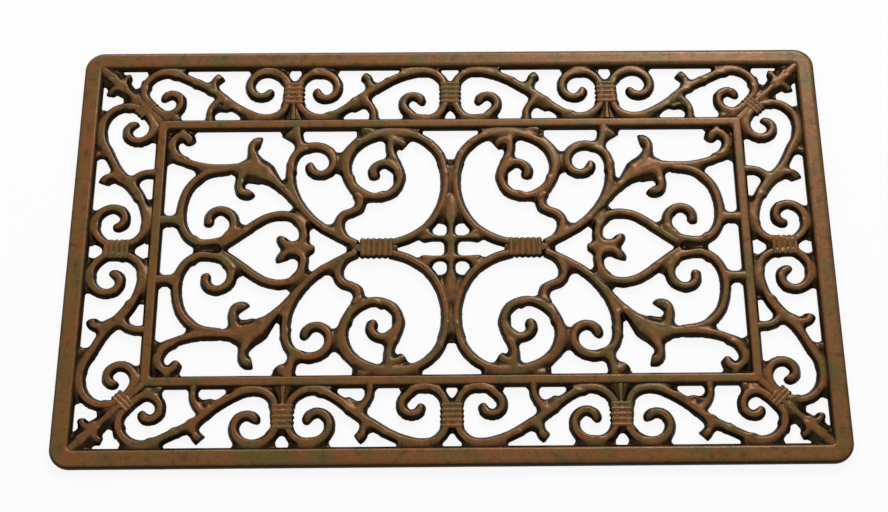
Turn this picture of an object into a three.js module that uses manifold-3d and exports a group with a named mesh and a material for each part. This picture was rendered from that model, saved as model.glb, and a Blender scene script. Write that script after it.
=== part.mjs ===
// Cast iron door mat: a rectangular openwork grille of scrolls inside two plain frames.
// Millimetres, +Z up. The origin lies under the middle of the mat, on the floor it rests on.
// The ornament repeats in four quarters, so each scroll is drawn once, for the quarter
// with x and y above zero, and mirrored into the other three.
import * as THREE from 'three';
import Module from 'manifold-3d';
import { mergeVertices } from 'three/addons/utils/BufferGeometryUtils.js';

// Driving dimensions: overall size and the two frames
const mat_length = 762;
const mat_width = 457;
const rim_width = 20.5;
const rim_height = 8;
const rim_corner_radius = 20;
const rim_inner_radius = 2.5;
const rim_outer_bevel = 3.6;
const rim_outer_bevel_drop = 2.4;
const rim_inner_bevel = 4.2;
const rim_inner_bevel_drop = 4;
const border_band_share = 0.1302;
const rail_width = 13.4;
const rail_height = 7.4;
const rail_bevel = 3;
const rail_bevel_drop = 3.4;
const rail_corner_radius = 3;
const rail_inner_radius = 2;

// Driving dimensions: scroll bars
const bar_width = 11.6;
const bar_height = 7.2;
const leaf_width = 10;
const link_width = 10.8;
const tip_length = 46;
const leaf_tip_length = 16;
const bar_foot_share = 0.5;
const tip_width_share = 0.6;
const tip_height_share = 0.72;

// Driving dimensions: collars that bind the scroll stems
const collar_pitch_share = 0.4494;
const collar_width = 23;
const collar_length = 27;
const collar_seat_height = 4.2;
const collar_rib_height = 1.3;
const side_collar_length = 27;
const side_collar_offset = 32;
const corner_collar_length = 13;
const corner_collar_offset = 13;
const centre_collar_start = 57;
const centre_collar_length = 34;
const centre_collar_width = 23.5;
const bay_gusset_height = 6;
const bay_gusset_width = 12;
const bay_gusset_neck_width = 3;
const corner_gusset_height = 6;
const corner_gusset_width = 9;
const corner_gusset_neck_width = 4;

// Driving dimensions: middle cross
const spine_width = 10.6;
const spine_reach_share = 0.43;
const spine_width_shares = [0.2, 1.5, 2.1, 1, 1, 1, 1, 1, 2.1, 1.5, 0.2];
const spine_hub_width = 15;
const spine_hub_reach = 9;
const spine_arm_width = 6.5;
const spine_arm_offset = 11.3;
const spine_arm_reach = 27;

// Driving dimensions: rubber studs pressed into blind holes under the rim
const stud_stand = 2;
const stud_head_diameter = 13;
const stud_stem_diameter = 6;
const stud_stem_length = 3.6;
const stud_head_chamfer = 0.6;
const stud_hole_depth = 4;
const stud_corner_offset = 16;

// Clearances and cut allowances
const joint_gap = 0.3;
const stud_clearance = 0.15;
const cut_overrun = 3;

// Facet counts and steps of the swept bars
const turn_per_step = 36;
const step_length = 32;
const fine_step = 1.5;
const curl_turn_per_point = 30;
const rib_segments = 3;
const corner_steps = 6;
const small_corner_steps = 2;
const stud_sides = 12;

// Sizes that follow from the driving dimensions
const half_length = mat_length / 2;
const half_width = mat_width / 2;
const window_length = half_length - rim_width;
const window_width = half_width - rim_width;
const border_band = mat_width * border_band_share;
const collar_pitch = window_length * collar_pitch_share;
const rail_length = window_length - border_band;
const rail_breadth = window_width - border_band;
const field_length = rail_length - rail_width;
const field_width = rail_breadth - rail_width;
const corner_bay = window_length - collar_pitch;
const spine_reach = field_width * spine_reach_share;

// Outline shares of the border scrolls: along the bay, then across the band from rail to rim
const middle_stem_shares = [
  [0.228, 0.032], [0.167, -0.01], [0.105, 0.025], [0.059, 0.126], [0.036, 0.294], [0.034, 0.697],
  [0.052, 0.832],
  [0.093, 0.924], [0.148, 0.95], [0.21, 0.943], [0.34, 0.832], [0.463, 0.63], [0.568, 0.437],
  [0.673, 0.202], [0.728, 0.109], [0.778, 0.05], [0.83, 0.03], [0.883, 0.059], [0.932, 0.16],
  [0.963, 0.311], [0.967, 0.496], [0.957, 0.697],
];
const middle_up_leaf_shares = [[0.488, 0.597], [0.515, 0.697], [0.52, 0.815], [0.556, 0.882]];
const middle_down_leaf_shares = [[0.556, 0.429], [0.519, 0.294], [0.491, 0.16], [0.485, 0], [0.485, -0.08]];
const corner_stem_shares = [
  [0.027, 0.496], [0.03, 0.311], [0.05, 0.151], [0.091, 0.059], [0.141, 0.03], [0.196, 0.064],
  [0.312, 0.277], [0.418, 0.571], [0.524, 0.765], [0.625, 0.921], [0.675, 0.946], [0.725, 0.903],
  [0.766, 0.782], [0.786, 0.613], [0.778, 0.462], [0.748, 0.328],
];
const corner_up_leaf_shares = [[0.408, 0.529], [0.413, 0.647], [0.408, 0.765], [0.373, 0.891]];
const corner_down_leaf_shares = [[0.363, 0.445], [0.408, 0.328], [0.431, 0.176], [0.433, 0], [0.433, -0.08]];

// Outline shares of the side scrolls: across the band from rail to rim, then along the side
const side_stem_shares = [
  [0.521, 0.027], [0.319, 0.034], [0.168, 0.062], [0.089, 0.106], [0.076, 0.154], [0.156, 0.25],
  [0.345, 0.346], [0.622, 0.43], [0.824, 0.538], [0.908, 0.594], [0.933, 0.654], [0.899, 0.712],
  [0.798, 0.755], [0.655, 0.784], [0.487, 0.792], [0.336, 0.776],
];
const side_outer_leaf_shares = [[0.538, 0.399], [0.689, 0.404], [0.832, 0.387], [0.882, 0.356]];
const side_inner_leaf_shares = [[0.403, 0.346], [0.311, 0.389], [0.168, 0.413], [-0.08, 0.418]];

// Outline shares of the corner finials: distances in from the rim's inner corner
const finial_stem_shares = [[0.672, 0.672], [0.529, 0.521], [0.395, 0.378], [0.261, 0.244], [0.126, 0.118], [0, 0]];
const finial_stem_width_shares = [0.8, 1, 1.5, 2.1, 2.5, 1.6];
const finial_left_petal_shares = [[0.361, 0.319], [0.387, 0.185], [0.445, 0.134], [0.521, 0.126]];
const finial_right_petal_shares = [[0.294, 0.387], [0.176, 0.403], [0.126, 0.445], [0.143, 0.529]];

// Outline shares of the field ornament: half the field's length, then half its width
const ring_stem_shares = [
  [0.216, 0.046], [0.153, 0.092], [0.088, 0.181], [0.043, 0.31], [0.0195, 0.47], [0.0185, 0.615],
  [0.04, 0.796], [0.094, 0.929], [0.174, 0.969], [0.265, 0.948], [0.34, 0.851], [0.368, 0.684],
  [0.341, 0.517], [0.267, 0.426], [0.202, 0.472], [0.178, 0.576], [0.182, 0.654], [0.197, 0.725],
];
const ring_neck_shares = [[0.186, 0.669], [0.197, 0.725], [0.211, 0.818], [0.211, 0.944]];
const ring_hook_shares = [[0.197, 0.684], [0.225, 0.714], [0.256, 0.701], [0.273, 0.647], [0.262, 0.572]];
const ring_leaf_shares = [[0.215, 0.914], [0.178, 0.89], [0.158, 0.859]];
const link_shares = [
  [0.331, 0.461], [0.317, 0.394], [0.322, 0.335], [0.345, 0.303], [0.371, 0.281], [0.388, 0.23],
  [0.388, 0.164], [0.373, 0.089],
];
const arch_stem_shares = [[0.324, 0.03], [0.401, 0.115], [0.474, 0.222], [0.533, 0.379], [0.564, 0.572]];
const arch_post_shares = [[0.531, 0.803], [0.538, 0.885], [0.544, 0.952], [0.549, 1.04]];
const arch_leaf_shares = [[0.545, 0.981], [0.571, 0.967], [0.585, 0.926]];
const tulip_body_shares = [
  [0.523, 0.32], [0.557, 0.424], [0.592, 0.509], [0.627, 0.591], [0.669, 0.658], [0.711, 0.68],
  [0.746, 0.68],
];
const tulip_body_width_shares = [0.9, 0.9, 1, 1.7, 2.6, 2.7, 1.4];
const tulip_upper_petal_shares = [
  [0.683, 0.729], [0.701, 0.803], [0.702, 0.866], [0.686, 0.907], [0.667, 0.903],
];
const tulip_lower_petal_shares = [
  [0.728, 0.654], [0.739, 0.58], [0.743, 0.513], [0.732, 0.461], [0.711, 0.452], [0.7, 0.476],
];
const tulip_stem_shares = [
  [0.725, 0.68], [0.78, 0.678], [0.836, 0.68], [0.889, 0.699], [0.934, 0.732], [0.967, 0.781],
  [0.984, 0.848], [0.982, 0.918], [0.962, 0.965], [0.937, 0.955], [0.927, 0.9],
];
const heart_stem_shares = [
  [0.78, 0.669], [0.861, 0.625], [0.916, 0.506], [0.94, 0.335], [0.939, 0.245], [0.927, 0.16],
  [0.902, 0.091], [0.868, 0.052],
];
const heart_tie_shares = [[0.934, 0.249], [1.03, 0.249]];
const trefoil_nose_shares = [[0.4765, 0], [0.502, 0], [0.537, 0], [0.568, 0]];
const trefoil_nose_width_shares = [0.4, 1.3, 1.9, 1.3];
const trefoil_side_bar_shares = [
  [0.523, 0.022], [0.513, 0.082], [0.514, 0.149], [0.526, 0.219], [0.554, 0.268], [0.596, 0.282],
  [0.641, 0.26], [0.683, 0.207], [0.721, 0.143], [0.756, 0.086], [0.79, 0.03], [0.802, 0],
];
const trefoil_hook_shares = [[0.54, 0.022], [0.568, 0.033], [0.587, 0.063], [0.584, 0.104]];

// Volutes: centre as shares of the same frames, radii as shares of the band or of half the
// field's width, start angle and turn in degrees, and how early the radius falls. The reach
// shares turn a radius into shares of each frame, so that a volute stays on its stem.
const middle_curl_reach_shares = [0.3673, 1];
const corner_curl_reach_shares = [0.2998, 1];
const side_curl_reach_shares = [1, 0.2861];
const field_curl_reach_shares = [0.4698, 1];
const middle_low_curl_shares = {
  centre: [0.231, 0.277], start: 0.2, end: 0.09, from: -60, turn: 250, ease: 2.2,
};
const middle_high_curl_shares = {
  centre: [0.814, 0.586], start: 0.406, end: 0.085, from: 41, turn: 326, ease: 0.9,
};
const corner_low_curl_shares = {
  centre: [0.155, 0.621], start: 0.43, end: 0.08, from: 172, turn: -347, ease: 0.93,
};
const corner_high_curl_shares = {
  centre: [0.652, 0.345], start: 0.247, end: 0.08, from: -37, turn: -297, ease: 3.5,
};
const side_low_curl_shares = {
  centre: [0.601, 0.154], start: 0.438, end: 0.087, from: -76, turn: 360, ease: 0.81,
};
const side_high_curl_shares = {
  centre: [0.365, 0.661], start: 0.332, end: 0.08, from: 123, turn: 335, ease: 1.26,
};
const arch_curl_shares = {
  centre: [0.47, 0.707], start: 0.206, end: 0.052, from: -11, turn: 391, ease: 0.89,
};
const heart_curl_shares = {
  centre: [0.815, 0.235], start: 0.191, end: 0.049, from: -81, turn: -318, ease: 0.7,
};

const wasm = await Module();
wasm.setup();

// Colour and finish of the two materials
const iron = new THREE.MeshStandardMaterial({ color: 0x5b4128, roughness: 0.62, metalness: 0.55 });
const rubber = new THREE.MeshStandardMaterial({ color: 0x1c1b1a, roughness: 0.85, metalness: 0 });

// Closed three.js geometry to a solid that can be joined and cut, and back
function solidFrom(geometry) {
  const bare = geometry.index ? geometry.toNonIndexed() : geometry.clone();
  bare.deleteAttribute('normal');
  bare.deleteAttribute('uv');
  const merged = mergeVertices(bare);
  const mesh = new wasm.Mesh({
    numProp: 3,
    vertProperties: Float32Array.from(merged.attributes.position.array),
    triVerts: Uint32Array.from(merged.index.array),
  });
  return new wasm.Manifold(mesh);
}

function geometryFrom(solid) {
  const mesh = solid.getMesh();
  const geometry = new THREE.BufferGeometry();
  geometry.setAttribute('position', new THREE.BufferAttribute(new Float32Array(mesh.vertProperties), 3));
  geometry.setIndex(new THREE.BufferAttribute(new Uint32Array(mesh.triVerts), 1));
  return geometry;
}

function joined(solids) {
  return solids.reduce((whole, next) => whole.add(next));
}

function without(solid, cutters) {
  return cutters.reduce((rest, cutter) => rest.subtract(cutter), solid);
}

// A loft through rings that all have the same number of points; open rows get end caps,
// and a row that comes back to its first ring closes on itself
function loft(rings, isLoop) {
  const count = rings[0].length;
  const positions = rings.flat().flatMap((point) => [point.x, point.y, point.z]);
  const index = [];
  const rows = isLoop ? rings.length : rings.length - 1;
  for (let row = 0; row < rows; row += 1) {
    const here = row * count;
    const next = ((row + 1) % rings.length) * count;
    for (let side = 0; side < count; side += 1) {
      const after = (side + 1) % count;
      index.push(here + side, here + after, next + after);
      index.push(here + side, next + after, next + side);
    }
  }
  if (!isLoop) {
    const last = (rings.length - 1) * count;
    for (let side = 1; side < count - 1; side += 1) {
      index.push(0, side + 1, side);
      index.push(last, last + side, last + side + 1);
    }
  }
  const geometry = new THREE.BufferGeometry();
  geometry.setAttribute('position', new THREE.Float32BufferAttribute(positions, 3));
  geometry.setIndex(index);
  return geometry;
}

// Places in the border and the field, from shares
function middlePoint([along, across]) {
  return new THREE.Vector3(along * collar_pitch, rail_breadth + across * border_band, 0);
}

function cornerPoint([along, across]) {
  return new THREE.Vector3(collar_pitch + along * corner_bay, rail_breadth + across * border_band, 0);
}

function sidePoint([across, along]) {
  return new THREE.Vector3(rail_length + across * border_band, along * window_width, 0);
}

function finialPoint([inward, down]) {
  return new THREE.Vector3(window_length - inward * border_band, window_width - down * border_band, 0);
}

function fieldPoint([along, across]) {
  return new THREE.Vector3(along * field_length, across * field_width, 0);
}

// Points of a volute that winds in from its stem
function curlPoints(curl, place, [reachAlong, reachAcross]) {
  const steps = Math.ceil(Math.abs(curl.turn) / curl_turn_per_point);
  const points = [];
  for (let step = 0; step <= steps; step += 1) {
    const share = step / steps;
    const radius = curl.start + (curl.end - curl.start) * share ** curl.ease;
    const angle = THREE.MathUtils.degToRad(curl.from + curl.turn * share);
    const along = curl.centre[0] + Math.cos(angle) * radius * reachAlong;
    const across = curl.centre[1] + Math.sin(angle) * radius * reachAcross;
    points.push(place([along, across]));
  }
  return points;
}

// Stations along a smooth line through the points: close together where it bends, and one
// at each place where a new width share starts
function stations(points, widthSpans) {
  const curve = new THREE.CatmullRomCurve3(points, false, 'centripetal');
  const length = curve.getLength();
  const count = Math.max(2, Math.round(length / fine_step));
  const kept = [];
  let turned = 0;
  let travelled = 0;
  let before = curve.getTangentAt(0);
  let spanBefore = 0;
  for (let step = 0; step <= count; step += 1) {
    const share = step / count;
    const tangent = curve.getTangentAt(share);
    turned += THREE.MathUtils.radToDeg(tangent.angleTo(before));
    travelled += length / count;
    before = tangent;
    const isEnd = step === 0 || step === count;
    const span = Math.floor(share * widthSpans);
    const isNewSpan = span > spanBefore;
    spanBefore = span;
    if (isEnd || isNewSpan || turned >= turn_per_step || travelled >= step_length) {
      kept.push({ place: curve.getPointAt(share), tangent, run: share * length });
      turned = 0;
      travelled = 0;
    }
  }
  return { kept, length };
}

function sharedValue(values, share) {
  const place = share * (values.length - 1);
  const lower = Math.min(Math.floor(place), values.length - 2);
  return values[lower] + (values[lower + 1] - values[lower]) * (place - lower);
}

function tipShare(distance, reach, least) {
  if (distance >= reach) return 1;
  return least + (1 - least) * Math.sin((distance / reach) * (Math.PI / 2));
}

// One bar of the ornament: flat underneath, upright foot, sides that slope up to a crown line.
// Tips grow narrower and lower. A bar for cutting has upright walls and the gap all round.
function barSolid(bar, isCutter) {
  const widthShares = bar.widthShares ?? [1, 1];
  const { kept, length } = stations(bar.points, widthShares.length - 1);
  const tipReach = Math.min(bar.tipLength ?? tip_length, length);
  const rings = kept.map(({ place, tangent, run }) => {
    let widthShare = sharedValue(widthShares, run / length);
    let heightShare = 1;
    if (bar.startTip) {
      widthShare *= tipShare(run, tipReach, tip_width_share);
      heightShare *= tipShare(run, tipReach, tip_height_share);
    }
    if (bar.endTip) {
      widthShare *= tipShare(length - run, tipReach, tip_width_share);
      heightShare *= tipShare(length - run, tipReach, tip_height_share);
    }
    const half = (bar.width * widthShare) / 2;
    const top = (bar.height ?? bar_height) * heightShare;
    const left = new THREE.Vector3(-tangent.y, tangent.x, 0);
    const corner = (across, rise) => place.clone().addScaledVector(left, across).setZ(rise);
    if (isCutter) {
      const wide = half + joint_gap;
      const over = rim_height + cut_overrun;
      return [corner(wide, -cut_overrun), corner(wide, over), corner(-wide, over), corner(-wide, -cut_overrun)];
    }
    const foot = top * bar_foot_share;
    return [corner(half, 0), corner(half, foot), corner(0, top), corner(-half, foot), corner(-half, 0)];
  });
  return solidFrom(loft(rings, false));
}

function barsSolid(bars) {
  return joined(bars.map((bar) => barSolid(bar, false)));
}

function barsCutter(bars) {
  return joined(bars.map((bar) => barSolid(bar, true)));
}

function leafBar(shares, place, width) {
  return { points: shares.map(place), width, endTip: true, tipLength: leaf_tip_length };
}

function plainBar(shares, place, width) {
  return { points: shares.map(place), width };
}

// Block between two corners, for cutting
function blockSolid(low, high) {
  const size = new THREE.Vector3().subVectors(high, low);
  const centre = new THREE.Vector3().addVectors(low, high).multiplyScalar(1 / 2);
  return solidFrom(new THREE.BoxGeometry(size.x, size.y, size.z).translate(centre.x, centre.y, centre.z));
}

// Everything outside the quarter that a scroll is drawn in, with half the gap on its own side
function quarterCutters() {
  const far = mat_length;
  const low = -cut_overrun;
  const high = rim_height + cut_overrun;
  const acrossX = blockSolid(new THREE.Vector3(-far, -far, low), new THREE.Vector3(joint_gap / 2, far, high));
  const acrossY = blockSolid(new THREE.Vector3(-far, -far, low), new THREE.Vector3(far, joint_gap / 2, high));
  return [acrossX, acrossY];
}

// Rounded rectangle at a distance in from the mat's edge, all rings with the same points
function frameRing(inset, radius, rise, steps) {
  const points = [];
  const reachX = half_length - inset - radius;
  const reachY = half_width - inset - radius;
  const corners = [[1, 1, 0], [-1, 1, 1], [-1, -1, 2], [1, -1, 3]];
  corners.forEach(([sideX, sideY, quarter]) => {
    for (let step = 0; step <= steps; step += 1) {
      const angle = (quarter + step / steps) * (Math.PI / 2);
      const x = sideX * reachX + Math.cos(angle) * radius;
      const y = sideY * reachY + Math.sin(angle) * radius;
      points.push(new THREE.Vector3(x, y, rise));
    }
  });
  return points;
}

// A frame lofted round its own section; the section is a loop of insets and heights
function frameSolid(section, outerRadius, innerRadius, steps) {
  const widest = Math.max(...section.map(([inset]) => inset));
  const outermost = Math.min(...section.map(([inset]) => inset));
  const rings = section.map(([inset, rise]) => {
    const share = (inset - outermost) / (widest - outermost);
    return frameRing(inset, outerRadius + (innerRadius - outerRadius) * share, rise, steps);
  });
  return solidFrom(loft(rings, true));
}

const rim_section = [
  [0, 0],
  [0, rim_height - rim_outer_bevel_drop],
  [rim_outer_bevel, rim_height],
  [rim_width - rim_inner_bevel, rim_height],
  [rim_width, rim_height - rim_inner_bevel_drop],
  [rim_width, 0],
];
const rail_outset = rim_width + border_band;
const rail_section = [
  [rail_outset, 0],
  [rail_outset, rail_height - rail_bevel_drop],
  [rail_outset + rail_bevel, rail_height],
  [rail_outset + rail_width - rail_bevel, rail_height],
  [rail_outset + rail_width, rail_height - rail_bevel_drop],
  [rail_outset + rail_width, 0],
];

// Upright-walled frame for cutting what seats against a rim or rail
function frameCutter(inset, width, outerRadius, innerRadius, steps) {
  const low = -cut_overrun;
  const high = rim_height + cut_overrun;
  const section = [
    [inset - joint_gap, low], [inset - joint_gap, high],
    [inset + width + joint_gap, high], [inset + width + joint_gap, low],
  ];
  return frameSolid(section, outerRadius, innerRadius, steps);
}

const rim_cutter = frameCutter(0, rim_width, rim_corner_radius, rim_inner_radius, corner_steps);
const rail_cutter = frameCutter(
  rail_outset, rail_width, rail_corner_radius, rail_inner_radius, small_corner_steps,
);

// Rubber stud: a stem in the rim's underside and a low head that the mat stands on
function studPlaces() {
  const x = half_length - stud_corner_offset;
  const y = half_width - stud_corner_offset;
  const middleY = half_width - rim_width / 2;
  return [
    ['front_left', -x, -y], ['front_middle', 0, -middleY], ['front_right', x, -y],
    ['back_left', -x, y], ['back_middle', 0, middleY], ['back_right', x, y],
  ];
}

function turned(profile) {
  const points = profile.map(([radius, rise]) => new THREE.Vector2(radius, rise));
  return new THREE.LatheGeometry(points, stud_sides).rotateX(Math.PI / 2);
}

function studGeometry() {
  const head = stud_head_diameter / 2;
  const stem = stud_stem_diameter / 2;
  const seat = -stud_clearance;
  return turned([
    [0, -stud_stand],
    [head - stud_head_chamfer, -stud_stand],
    [head, stud_head_chamfer - stud_stand],
    [head, seat],
    [stem, seat],
    [stem, stud_stem_length],
    [0, stud_stem_length],
  ]);
}

function studHoleSolid(x, y) {
  const radius = stud_stem_diameter / 2 + stud_clearance;
  const hole = turned([
    [0, -cut_overrun], [radius, -cut_overrun], [radius, stud_hole_depth], [0, stud_hole_depth],
  ]);
  return solidFrom(hole.translate(x, y, 0));
}

function rimSolid() {
  const rim = frameSolid(rim_section, rim_corner_radius, rim_inner_radius, corner_steps);
  return without(rim, studPlaces().map(([, x, y]) => studHoleSolid(x, y)));
}

function railSolid() {
  return frameSolid(rail_section, rail_corner_radius, rail_inner_radius, small_corner_steps);
}

// Collar: a row of half-round ribs across the stems that it binds; length along the stems
function collarGeometry(length, width, ribs, bottom, top) {
  const pitch = length / ribs;
  const valley = top - collar_rib_height;
  const outline = new THREE.Shape();
  outline.moveTo(-length / 2, bottom);
  outline.lineTo(length / 2, bottom);
  for (let rib = 0; rib < ribs; rib += 1) {
    const start = length / 2 - rib * pitch;
    for (let step = 0; step <= rib_segments; step += 1) {
      const share = step / rib_segments;
      outline.lineTo(start - share * pitch, valley + Math.sin(share * Math.PI) * collar_rib_height);
    }
  }
  outline.closePath();
  const solid = new THREE.ExtrudeGeometry(outline, { depth: width, bevelEnabled: false });
  return solid.translate(0, 0, -width / 2).rotateX(Math.PI / 2);
}

function collarSolid(spec) {
  const geometry = collarGeometry(spec.length, spec.width, spec.ribs, spec.bottom, rim_height);
  return solidFrom(geometry.rotateZ(spec.angle).translate(spec.x, spec.y, 0));
}

function collarCutter(spec) {
  const length = spec.length + 2 * joint_gap;
  const width = spec.width + 2 * joint_gap;
  const low = spec.bottom > 0 ? spec.bottom - joint_gap : -cut_overrun;
  const high = rim_height + cut_overrun;
  const box = new THREE.BoxGeometry(length, width, high - low).translate(0, 0, (high + low) / 2);
  return solidFrom(box.rotateZ(spec.angle).translate(spec.x, spec.y, 0));
}

const quarter_turn = Math.PI / 2;
const band_centre = rail_breadth + border_band / 2;
const mid_collar = {
  x: 0, y: band_centre, length: collar_length, width: collar_width,
  ribs: 5, bottom: collar_seat_height, angle: quarter_turn,
};
const bay_collar = { ...mid_collar, x: collar_pitch };
const side_collar = {
  x: rail_length + side_collar_offset, y: 0, length: side_collar_length, width: collar_width,
  ribs: 5, bottom: collar_seat_height, angle: 0,
};
const corner_collar = {
  x: rail_length + corner_collar_offset, y: rail_breadth + corner_collar_offset,
  length: corner_collar_length, width: collar_width,
  ribs: 3, bottom: collar_seat_height, angle: quarter_turn / 2,
};
const centre_collar = {
  x: centre_collar_start + centre_collar_length / 2, y: 0, length: centre_collar_length,
  width: centre_collar_width, ribs: 6, bottom: 0, angle: 0,
};

// Wedge that fills the fork under a bay collar, down to the rail
function bayGussetBar() {
  const top = bay_collar.y - bay_collar.length / 2 + bar_width / 2;
  const foot = rail_breadth - joint_gap;
  return {
    points: [new THREE.Vector3(collar_pitch, top, 0), new THREE.Vector3(collar_pitch, foot, 0)],
    width: bay_gusset_width,
    widthShares: [bay_gusset_neck_width / bay_gusset_width, 1],
    height: bay_gusset_height,
  };
}

// Wedge that fills the fork between a corner collar and the corner of the rail
function cornerGussetBar() {
  return {
    points: [
      new THREE.Vector3(corner_collar.x, corner_collar.y, 0),
      new THREE.Vector3(rail_length - joint_gap, rail_breadth - joint_gap, 0),
    ],
    width: corner_gusset_width,
    widthShares: [corner_gusset_neck_width / corner_gusset_width, 1],
    height: corner_gusset_height,
  };
}

function middleScrollBars() {
  const low = curlPoints(middle_low_curl_shares, middlePoint, middle_curl_reach_shares).reverse();
  const stem = middle_stem_shares.map(middlePoint);
  const high = curlPoints(middle_high_curl_shares, middlePoint, middle_curl_reach_shares);
  return [
    { points: [...low, ...stem, ...high], width: bar_width, startTip: true, endTip: true },
    leafBar(middle_up_leaf_shares, middlePoint, leaf_width),
    plainBar(middle_down_leaf_shares, middlePoint, leaf_width),
  ];
}

function cornerScrollBars() {
  const low = curlPoints(corner_low_curl_shares, cornerPoint, corner_curl_reach_shares).reverse();
  const stem = corner_stem_shares.map(cornerPoint);
  const high = curlPoints(corner_high_curl_shares, cornerPoint, corner_curl_reach_shares);
  return [
    { points: [...low, ...stem, ...high], width: bar_width, startTip: true, endTip: true },
    leafBar(corner_up_leaf_shares, cornerPoint, leaf_width),
    plainBar(corner_down_leaf_shares, cornerPoint, leaf_width),
  ];
}

function sideScrollBars() {
  const low = curlPoints(side_low_curl_shares, sidePoint, side_curl_reach_shares).reverse();
  const stem = side_stem_shares.map(sidePoint);
  const high = curlPoints(side_high_curl_shares, sidePoint, side_curl_reach_shares);
  return [
    { points: [...low, ...stem, ...high], width: bar_width, startTip: true, endTip: true },
    leafBar(side_outer_leaf_shares, sidePoint, leaf_width),
    plainBar(side_inner_leaf_shares, sidePoint, leaf_width),
  ];
}

function finialBars() {
  return [
    {
      points: finial_stem_shares.map(finialPoint),
      width: bar_width,
      widthShares: finial_stem_width_shares,
    },
    leafBar(finial_left_petal_shares, finialPoint, leaf_width),
    leafBar(finial_right_petal_shares, finialPoint, leaf_width),
  ];
}

function ringBars() {
  return [
    plainBar(ring_stem_shares, fieldPoint, bar_width),
    plainBar(ring_neck_shares, fieldPoint, bar_width),
    leafBar(ring_hook_shares, fieldPoint, bar_width),
    leafBar(ring_leaf_shares, fieldPoint, leaf_width),
  ];
}

function archBars() {
  const root = new THREE.Vector3(centre_collar.x, arch_stem_shares[0][1] * field_width, 0);
  const stem = arch_stem_shares.map(fieldPoint);
  const curl = curlPoints(arch_curl_shares, fieldPoint, field_curl_reach_shares);
  return [
    { points: [root, ...stem, ...curl.slice(1)], width: bar_width, endTip: true },
    plainBar(arch_post_shares, fieldPoint, bar_width),
    leafBar(arch_leaf_shares, fieldPoint, leaf_width),
    plainBar(link_shares, fieldPoint, link_width),
  ];
}

function tulipBars() {
  return [
    {
      points: tulip_body_shares.map(fieldPoint),
      width: bar_width,
      widthShares: tulip_body_width_shares,
    },
    leafBar(tulip_upper_petal_shares, fieldPoint, bar_width),
    leafBar(tulip_lower_petal_shares, fieldPoint, bar_width),
    leafBar(tulip_stem_shares, fieldPoint, bar_width),
  ];
}

function heartBars() {
  const curl = curlPoints(heart_curl_shares, fieldPoint, field_curl_reach_shares);
  return [
    { points: [...heart_stem_shares.map(fieldPoint), ...curl.slice(1)], width: bar_width, endTip: true },
    plainBar(heart_tie_shares, fieldPoint, bar_width),
  ];
}

function trefoilBars() {
  return [
    plainBar(trefoil_side_bar_shares, fieldPoint, bar_width),
    leafBar(trefoil_hook_shares, fieldPoint, leaf_width),
  ];
}

function mirroredBar(bar, sideX, sideY) {
  return { ...bar, points: bar.points.map((point) => new THREE.Vector3(point.x * sideX, point.y * sideY, 0)) };
}

function spineBars() {
  const places = spine_width_shares.map((share, place) => (2 * place) / (spine_width_shares.length - 1) - 1);
  const upright = {
    width: spine_width,
    widthShares: spine_width_shares,
    points: places.map((share) => new THREE.Vector3(0, share * spine_reach, 0)),
  };
  const hub = {
    width: spine_hub_width,
    points: [new THREE.Vector3(0, -spine_hub_reach, 0), new THREE.Vector3(0, spine_hub_reach, 0)],
  };
  const arms = [1, -1].map((side) => ({
    width: spine_arm_width,
    points: [-1, 1].map((end) => new THREE.Vector3(end * spine_arm_reach, side * spine_arm_offset, 0)),
  }));
  return [upright, hub, ...arms];
}

// Half-space beyond the diagonal of a border corner, for the side that is named
function diagonalCutter(side) {
  const far = mat_length;
  const depth = rim_height + 2 * cut_overrun;
  const middle = side * (far / 2 - joint_gap / 2);
  const box = new THREE.BoxGeometry(2 * far, far, depth).translate(0, middle, rim_height / 2);
  return solidFrom(box.rotateZ(quarter_turn / 2).translate(rail_length, rail_breadth, 0));
}

function bayCutter(side) {
  const far = mat_length;
  const depth = rim_height + 2 * cut_overrun;
  const middle = side * (far / 2 - joint_gap / 2);
  const box = new THREE.BoxGeometry(far, 2 * far, depth).translate(middle, 0, rim_height / 2);
  return solidFrom(box.translate(collar_pitch, 0, 0));
}

const frames = [rim_cutter, rail_cutter];
const quarter = quarterCutters();
const mid_collar_cutter = collarCutter(mid_collar);
const bay_collar_cutter = collarCutter(bay_collar).add(barSolid(bayGussetBar(), true));
const side_collar_cutter = collarCutter(side_collar);
const corner_collar_cutter = collarCutter(corner_collar).add(barSolid(cornerGussetBar(), true));
const centre_collar_cutter = collarCutter(centre_collar);
const ring_cutter = barsCutter(ringBars());
const arch_cutter = barsCutter(archBars());
const tulip_cutter = barsCutter(tulipBars());
const heart_cutter = barsCutter(heartBars());
const corner_scroll_cutter = barsCutter(cornerScrollBars());
const side_scroll_cutter = barsCutter(sideScrollBars());

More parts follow.
